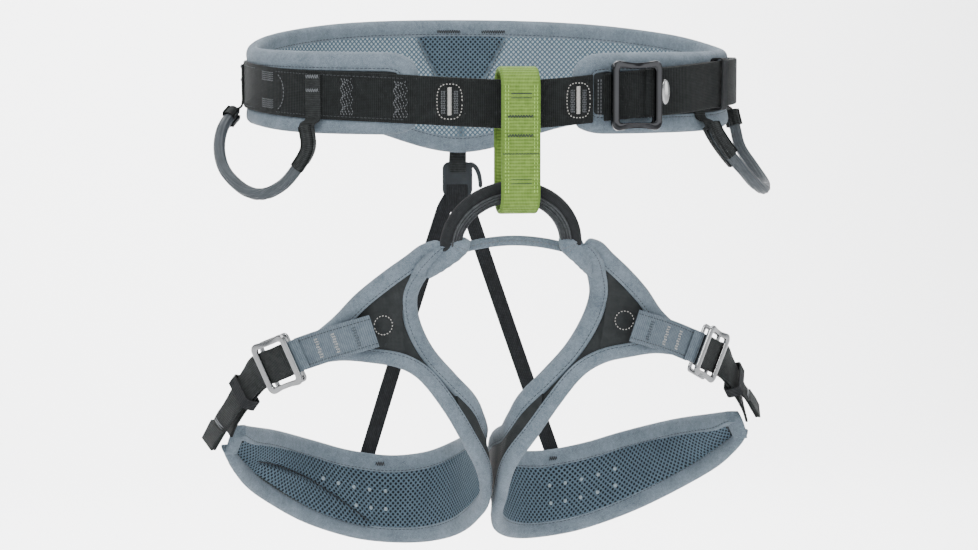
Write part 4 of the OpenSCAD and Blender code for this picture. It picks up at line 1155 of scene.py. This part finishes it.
def leg_tape(which, edge, w_of, way, s1, side, lift=0.0):
    """Binding along an edge of a leg loop, w_of(s) wide, on the way side of it. lift stands it proud."""
    s = np.linspace(0, s1, int(10 * s1) + 30)
    P0, Q0 = spline(edge, s), tape_inner(edge, s, w_of(s), way)
    n = leg_out(P0)
    blunt = np.clip(1 - s / 0.45, 0, 1)
    P0 = P0 + (Q0 - P0) * (0.75 * (1 - np.sqrt(np.maximum(1 - blunt ** 2, 0))))[:, None]

    def at(k, share, t):
        k, share, t = np.broadcast_arrays(k, share, t)
        return seat(P0[k] + (Q0[k] - P0[k]) * share[..., None] - (t - lift)[..., None] * n[k], side)

    o = bound_edge("leg_%s_binding_%s" % (which, TAG[side]), at, len(s), LEG_T, False)
    put(o, "legs", "edge_tape", "leg_%s_tape_%s" % (which, TAG[side]))
    k = np.arange(len(s))
    for t, sign in ((-0.02, 1), (LEG_T + 0.02, -1)):
        line = at(k, np.full(len(s), 0.85), np.full(len(s), t))
        leg_dark.seam(line, flip(sign * n, side), 2.6, 2.0, 0.22, 0.08)


# Fold in the left leg loop's lining, as (place along the padding, share of its width)
SEAM = spline([[1.45, 0.66], [1.9, 0.52], [2.35, 0.45], [2.95, 0.44], [3.6, 0.58], [4.05, 0.74], [4.5, 0.93]],
              np.linspace(0, 6, 50))
SEAM_S, SEAM_F = SEAM[:, 0], SEAM[:, 1]


def pad_edges(s):
    """The padding's upper and lower border, tucked under the bindings."""
    return tape_inner(UPPER, s, upper_w(s) - 1.0, -1), tape_inner(LOWER, s, lower_w(s) - 1.0, 1)


def pad_fullness(s):
    return ramp(s, 0.35, 1.2) * (1 - ramp(s, 10.4, 11.7))


def leg_pad(side):
    s = np.linspace(0.35, BAND_END + 0.3, 150)
    a, b = pad_edges(s)
    f = np.linspace(0, 1, 33)
    mid = a[:, None] + (b - a)[:, None] * f[None, :, None]
    n = leg_out((a + b) / 2)[:, None]
    crown = (4 * f * (1 - f))[None] ** 0.55
    fat = pad_fullness(s)[:, None]
    width = np.linalg.norm(b - a, axis=1)[:, None]
    u = lengths(mid[:, 16])[:, None]
    v = (f[None] - 0.5) * width
    groove = 0 * v
    if side < 0:
        # A curved fold marks off the outer part of the lining, which lies a little higher
        line = np.interp(s, SEAM_S, SEAM_F)[:, None]
        here = ((s >= SEAM_S[0]) & (s <= SEAM_S[-1]))[:, None]
        past = (f[None] - line) * width
        raised = ramp(past, 0.6, 4.0) * (ramp(s, 1.45, 2.2) * (1 - ramp(s, 3.9, 4.7)))[:, None]
        groove = here * 1.5 * (np.exp(-(past / 1.3) ** 2) - raised)
    inner = mid - (LEG_T + 1.5 * crown * fat - 1.4 * groove)[..., None] * n
    outer = mid - (0.35 - 0.9 * crown * fat)[..., None] * n
    P = seat(np.concatenate([outer, inner[:, ::-1]], 1), side)
    m = len(f)
    V = np.concatenate([v, v[:, ::-1], v[:, :1]], 1)
    verts, faces, coords, mats = grid(P, u, V, 0, mat_of=lambda i, j: 1 if j >= m else 0)
    pad = obj("leg_padding_" + TAG[side], verts, faces, coords, [OUTER, MESH], mats, sharp=60)
    put(pad, "legs", "lining_mesh", *(x + TAG[side] for x in ("leg_foam_", "leg_lining_", "leg_cover_")))

    def on_lining(si, fi, lift=0.0):
        si, fi = np.broadcast_arrays(np.asarray(si, float), np.asarray(fi, float))
        A, B = pad_edges(si)
        p = A + (B - A) * fi[..., None]
        nn = leg_out((A + B) / 2)
        c = np.maximum(4 * fi * (1 - fi), 0) ** 0.55
        return seat(p - (LEG_T + 1.5 * c * pad_fullness(si) + lift)[..., None] * nn, side), flip(-nn, side)

    if side < 0:
        p, nn = on_lining(SEAM_S, SEAM_F, -1.3)
        leg_dark.seam(p, nn, 2.2, 2.0, 0.4)
    # Two rows of grip dots; the fold takes two places in the left lower row
    verts, faces = [], []
    places = (3.35, 3.75, 4.15, 4.55, 4.95)
    for si, fi in [(x, 0.34) for x in places] + [(x, 0.66) for x in (places[2:] if side < 0 else places)]:
        c, nn = on_lining(si, fi, 0.0)
        x = unit(np.cross(nn, UPWARD))
        y = np.cross(nn, x)
        base, n = len(verts), 16
        for r, h in ((1.45, -0.5), (1.4, 0.1), (1.05, 0.38), (0.5, 0.5)):
            for t in 2 * math.pi * np.arange(n) / n:
                verts.append(c + r * (x * math.cos(t) + y * math.sin(t)) + nn * h)
        for low in range(base, base + 3 * n, n):
            for q in range(n):
                w = (q + 1) % n
                faces.append((low + q, low + w, low + n + w, low + n + q))
        faces += [tuple(range(base, base + n)), tuple(range(base + 3 * n, base + 4 * n))]
    corners = sum(map(len, faces))
    put(obj("grip_dots_" + TAG[side], verts, faces, np.zeros((corners, 3)), CLEAR), "legs", "lining_mesh")


def leg_ribbon(name, route, last, side, t_mid, thick, mat, slot, node=None, start=0.0):
    """Buckle webbing along a route, up to its parameter last. t_mid moves it outwards."""
    s = dense(route, 2.0)
    s = s[(s <= last) & (s >= start)]
    O, N = spline(route, s), strap_face(spline(route, s))
    A = unit(np.cross(N, along(route, s)))
    O = O + t_mid * N
    P, A2 = seat(O, side), flip(A, side)
    T = unit(np.gradient(P, axis=0))
    A2 = unit(A2 - (A2 * T).sum(1)[:, None] * T)
    o = strap(name, P, A2, flip(N, side), LEG_WEB_W, thick, mat, 10)
    put(o, "legs", slot, *([node] if node else []))
    return P, A2, flip(N, side)


def leg_sheet(name, mid, front, back, side):
    """Thin piece of outer fabric through a grid of points, from the depth front to the depth back."""
    n = leg_out(mid)
    P = seat(np.concatenate([mid - front * n, (mid - back * n)[:, ::-1]], 1), side)
    U, V = (np.concatenate([mid[..., c], mid[:, ::-1, c], mid[:, :1, c]], 1) for c in (0, 2))
    return shell(name, P, U, V, 0, OUTER, 60)


def leg(side):
    tag = TAG[side]
    leg_pad(side)
    up = np.vstack([UPPER, [[36.5, -99, -96.5]]])
    leg_tape("upper", up, lambda s: upper_w(s) - 4.5 * ramp(s, 16.5, 18), -1, 17.9, side)
    leg_tape("lower", LOWER, lower_w, 1, 17, side)
    outer = np.vstack([[[42.5, -99.5, -90.5]], OUTER_EDGE, [[113, -51.5, -149.5]]])
    leg_tape("outer", outer, lambda s: OUT_TAPE - 3.5 * (1 - ramp(s, 0, 1.4)) - 5.5 * ramp(s, 4.4, 6),
             -1, 6, side, lift=0.5)

    # Rounded rear end, sewn over both tapes
    k = np.linspace(0.02, 0.98, 14)[:, None]
    O = UPPER[0] + (LOWER[0] - UPPER[0]) * k - LEG_T / 2 * leg_out(UPPER[0])
    A, N = like(along(UPPER, 0.1), O), like(leg_out(UPPER[0]), O)
    o = strap("leg_rear_end_" + tag, seat(O + A * 1.9, side), flip(A, side), flip(N, side), 9.5, LEG_T + 0.9,
              VELOUR, taper=0.3 + 0.7 * np.sqrt(np.sin(k[:, 0] * math.pi)))
    put(o, "legs", "edge_tape")

    # Front panel
    w1, w2 = LEG_TAPE - 1.5, LOW_TAPE - 1.0
    a_side = np.vstack([tape_inner(OUTER_EDGE, np.array([1.3, 2.2, 3.1, 3.8]), OUT_TAPE - 1.5, -1),
                        tape_inner(LOWER, np.array([16.6]), w2, 1)])
    b_side = tape_inner(UPPER, np.array([16.1, 15.5, 14.9, 14.3, 13.8]), w1, -1)
    foot = tape_inner(LOWER, np.array([14, 14.65, 15.3, 15.95, 16.6]), w2, 1)
    k = np.linspace(0, 1, 26)[:, None, None]
    f = np.linspace(0, 1, 17)[None, :, None]
    a, b = (spline(edge, 4 * k[:, 0, 0])[:, None] for edge in (a_side, b_side))
    mid = b + (a - b) * f \
        + k * k * (spline(foot, 4 * f[0, :, 0])[None] - b_side[4] - (a_side[4] - b_side[4]) * f)
    puff = (1 - np.abs(2 * f - 1) ** 3) * (1 - np.abs(2 * k - 1) ** 3)
    panel = leg_sheet("leg_panel_" + tag, mid, 1.2 - 0.5 * puff, 3.0, side)
    put(panel, "legs", "outer_fabric", "leg_panel_" + tag)
    # Dark fabric in the narrow part, where the upper and lower tapes run together
    q = np.linspace(0, 1, 24)
    su, sl = 11.5 + 3.5 * q, 11.5 + 3.2 * q
    a = tape_inner(UPPER, su, upper_w(su) - 3, -1)[:, None]
    b = tape_inner(LOWER, sl, lower_w(sl) - 3, 1)[:, None]
    mid = a + (b - a) * np.linspace(0, 1, 7)[None, :, None]
    put(leg_sheet("leg_panel_tongue_" + tag, mid, 2.0, 3.2, side), "legs", "outer_fabric")
    # Dotted round seam on the panel, at the end of the grey webbing
    c = np.array([73, -71, -143.0])
    nn = leg_out(c)
    x = unit(np.cross(UPWARD, nn))
    t = np.linspace(0, 2 * math.pi, 60)[:, None]
    ring = c + 5.6 * (np.cos(t) * x + np.sin(t) * UPWARD) - 0.55 * nn
    leg_white.seam(seat(ring, side), like(flip(nn, side), ring), 1.9, 1.0, 0.3, 0.2)

    # Grey webbing that holds the buckle: a front layer and one folded back behind it
    route = np.array([[79, -70, -146], [94, -65, -151], [107, -57, -156], by_buckle(-12.5, -3.7)], float)
    P, A, N = leg_ribbon("leg_sleeve_" + tag, route, 3, side, 2.2, 2.0, GREY, "grey_webbing",
                         "leg_sleeve_" + tag)
    for off in (-7.6, 7.6):
        leg_dark.seam(P + A * off + N * 1.05, N, 2.2, 1.7, 0.26, 0.12)
    for i, mat in ((5, leg_dark), (len(P) // 2, leg_silver), (len(P) // 2 + 5, leg_silver)):
        for off in (-0.8, 0.0, 0.9):
            t = np.linspace(-6.5, 6.5, 24)[:, None]
            line = P[i] + N[i] * 1.05 + A[i] * t + unit(P[i + 1] - P[i - 1]) * (off + 0.5 * np.sin(t * 1.7))
            mat.seam(line, like(N[i], line), 1.8, 1.25, 0.2, 0.12)

    # Its turn round the buckle's inner bar
    turn = np.array([by_buckle(x, out) for x, out in (
        (-15.5, -2.4), (-13.5, -1.5), (-12, -0.3), (-10.9, 0.3), (-9.5, 0.7), (-9.0, 1.8), (-9.5, 2.9),
        (-10.9, 3.3), (-12.6, 2.7), (-14.2, 1.2), (-16.5, -0.2))])
    O = spline(turn, dense(turn, 0.6))
    A = like(UP, O)
    N = np.cross(unit(np.gradient(O, axis=0)), A)
    o = strap("leg_sleeve_turn_" + tag, seat(O, side), flip(A, side), flip(N, side), 19.4, 1.0, GREY, 10)
    put(o, "legs", "grey_webbing")

    # Buckle
    M = np.column_stack([flip(RUN, side), flip(UP, side), flip(FACE, side), seat(CENTRE, side)])
    base, front = M.copy(), M.copy()
    base[:, 3] += 1.8 * M[:, 2]
    o = bar_frame("leg_buckle_base_" + tag, base, 19, 26, 2.8, 1.8, 3, 1.5, SILVER)
    put(o, "legs", "silver_buckle", "leg_buckle_base_" + tag)
    front[:, 3] += 7.5 * M[:, 2]
    o = bar_frame("leg_buckle_frame_" + tag, front, 20, 25, 4, 2.6, 5, 2, SILVER, dip=1.3)
    put(o, "leg_buckle_" + tag, "silver_buckle", "leg_buckle_frame_" + tag)

    # Adjustment webbing and its tail, with a doubled end
    strap_route = np.array([by_buckle(-4.5, -0.9), by_buckle(8, -0.9), by_buckle(22, -1),
                            [152, -18, -187], [160, -12, -201], [164, -9, -212]])
    tail_route = np.array([by_buckle(-4.5, 4.6), by_buckle(8, 4.7), by_buckle(22, 3.8),
                           [156, -19.5, -188.5], [166, -17.5, -203], [175, -15, -219]])
    look = BLACK_LEG, "black_webbing"
    leg_ribbon("leg_strap_" + tag, strap_route, 5, side, 0, 1.8, *look, "leg_strap_" + tag)
    last = 4.3 if side > 0 else 5.0
    P, A, N = leg_ribbon("leg_strap_tail_" + tag, tail_route, last, side, 0, 1.8, *look,
                         "leg_strap_tail_" + tag)
    leg_ribbon("leg_tail_fold_" + tag, tail_route, last, side, 1.75, 1.6, *look, start=last - 0.75)
    leg_grey.bartack(P[-8] + N[-8] * 1.9, unit(P[-7] - P[-9]), A[-8], N[-8], 1.4, 15, 0.7, 0.26)
    # Its turn, inside the buckle's window
    O = np.array([by_buckle(-4.5 - 2.75 * math.cos(q), 1.85 + 2.75 * math.sin(q))
                  for q in np.radians(np.linspace(-90, 90, 12))])
    N = unit(O - by_buckle(-4.5, 1.85))
    o = strap("leg_strap_turn_" + tag, seat(O, side), like(flip(UP, side), O), flip(N, side), 19.6, 1.7,
              BLACK_LEG, 10)
    put(o, "legs", "black_webbing")

    # Elastic keeper
    run = along(strap_route, 3.0)
    mid = (spline(strap_route, 3.0) + spline(tail_route, 3.0)) / 2
    kside = unit(np.cross(strap_face(mid), run))
    kface = np.cross(kside, run)
    depth = float(np.linalg.norm(spline(tail_route, 3.0) - spline(strap_route, 3.0))) + 5.2
    total, ring, nor, section = keeper_band(rounded(depth, 23.0, 1.9, 7), 72, 3.4, 3.7, 0.5, 6)
    rows = np.array([[run * x + kface * (p[0] + q[0] * y) + kside * (p[1] + q[1] * y) for x, y in section]
                     for p, q in zip(ring, nor)])
    V = close(np.array([x for x, _ in section]))
    o = shell("leg_keeper_" + tag, seat(mid, side) + rows * [side, 1, 1],
              np.linspace(0, total, len(ring) + 1)[:, None], V[None], 0, ELASTIC, 50, wrap_i=True)
    put(o, "leg_keeper_" + tag, "elastic", "leg_keeper_" + tag)

    # Bartack on the back binding where the elastic strap is sewn in
    p = spline(UPPER, 4.75) - 5.5 * UPWARD
    nn = leg_out(p)
    x = unit(np.cross(UPWARD, nn))
    leg_dark.bartack(seat(p - (LEG_T + 0.6) * nn, side), flip(x, side), UPWARD, flip(-nn, side), 8, 3)


def cross_strip():
    foot, dip = np.array([36, -91, -98.0]), np.array([0, -91, -92.5])
    half = np.array([foot[0] / 2, dip[1], dip[2] - 1.5])
    route = np.array([seat(foot, -1), seat(half, -1), seat(dip, 1), seat(half, 1), seat(foot, 1)])
    sp = spline(route, dense(route, 1.5))
    N = like(FORWARD, sp)
    A = unit(np.cross(N, unit(np.gradient(sp, axis=0))))
    o = strap("cross_strip", sp, A, N, 6, 2.6, VELOUR, 8)
    put(o, "legs", "edge_tape", "cross_strip")
    leg_grey.seam(sp + [0, -1.4, 0], N, 2.4, 1.6, 0.24, 0.12)


belt()
belt_webs()
belt_hardware()
gear_loops()
rear_parts()
belay()
bridge()
cross_strip()
for side in (-1, 1):
    leg(side)
    foot_cuff(side)
for batch in (belt_grey, belt_white, belt_dark, leg_grey, leg_white, leg_silver, leg_dark):
    batch.make()
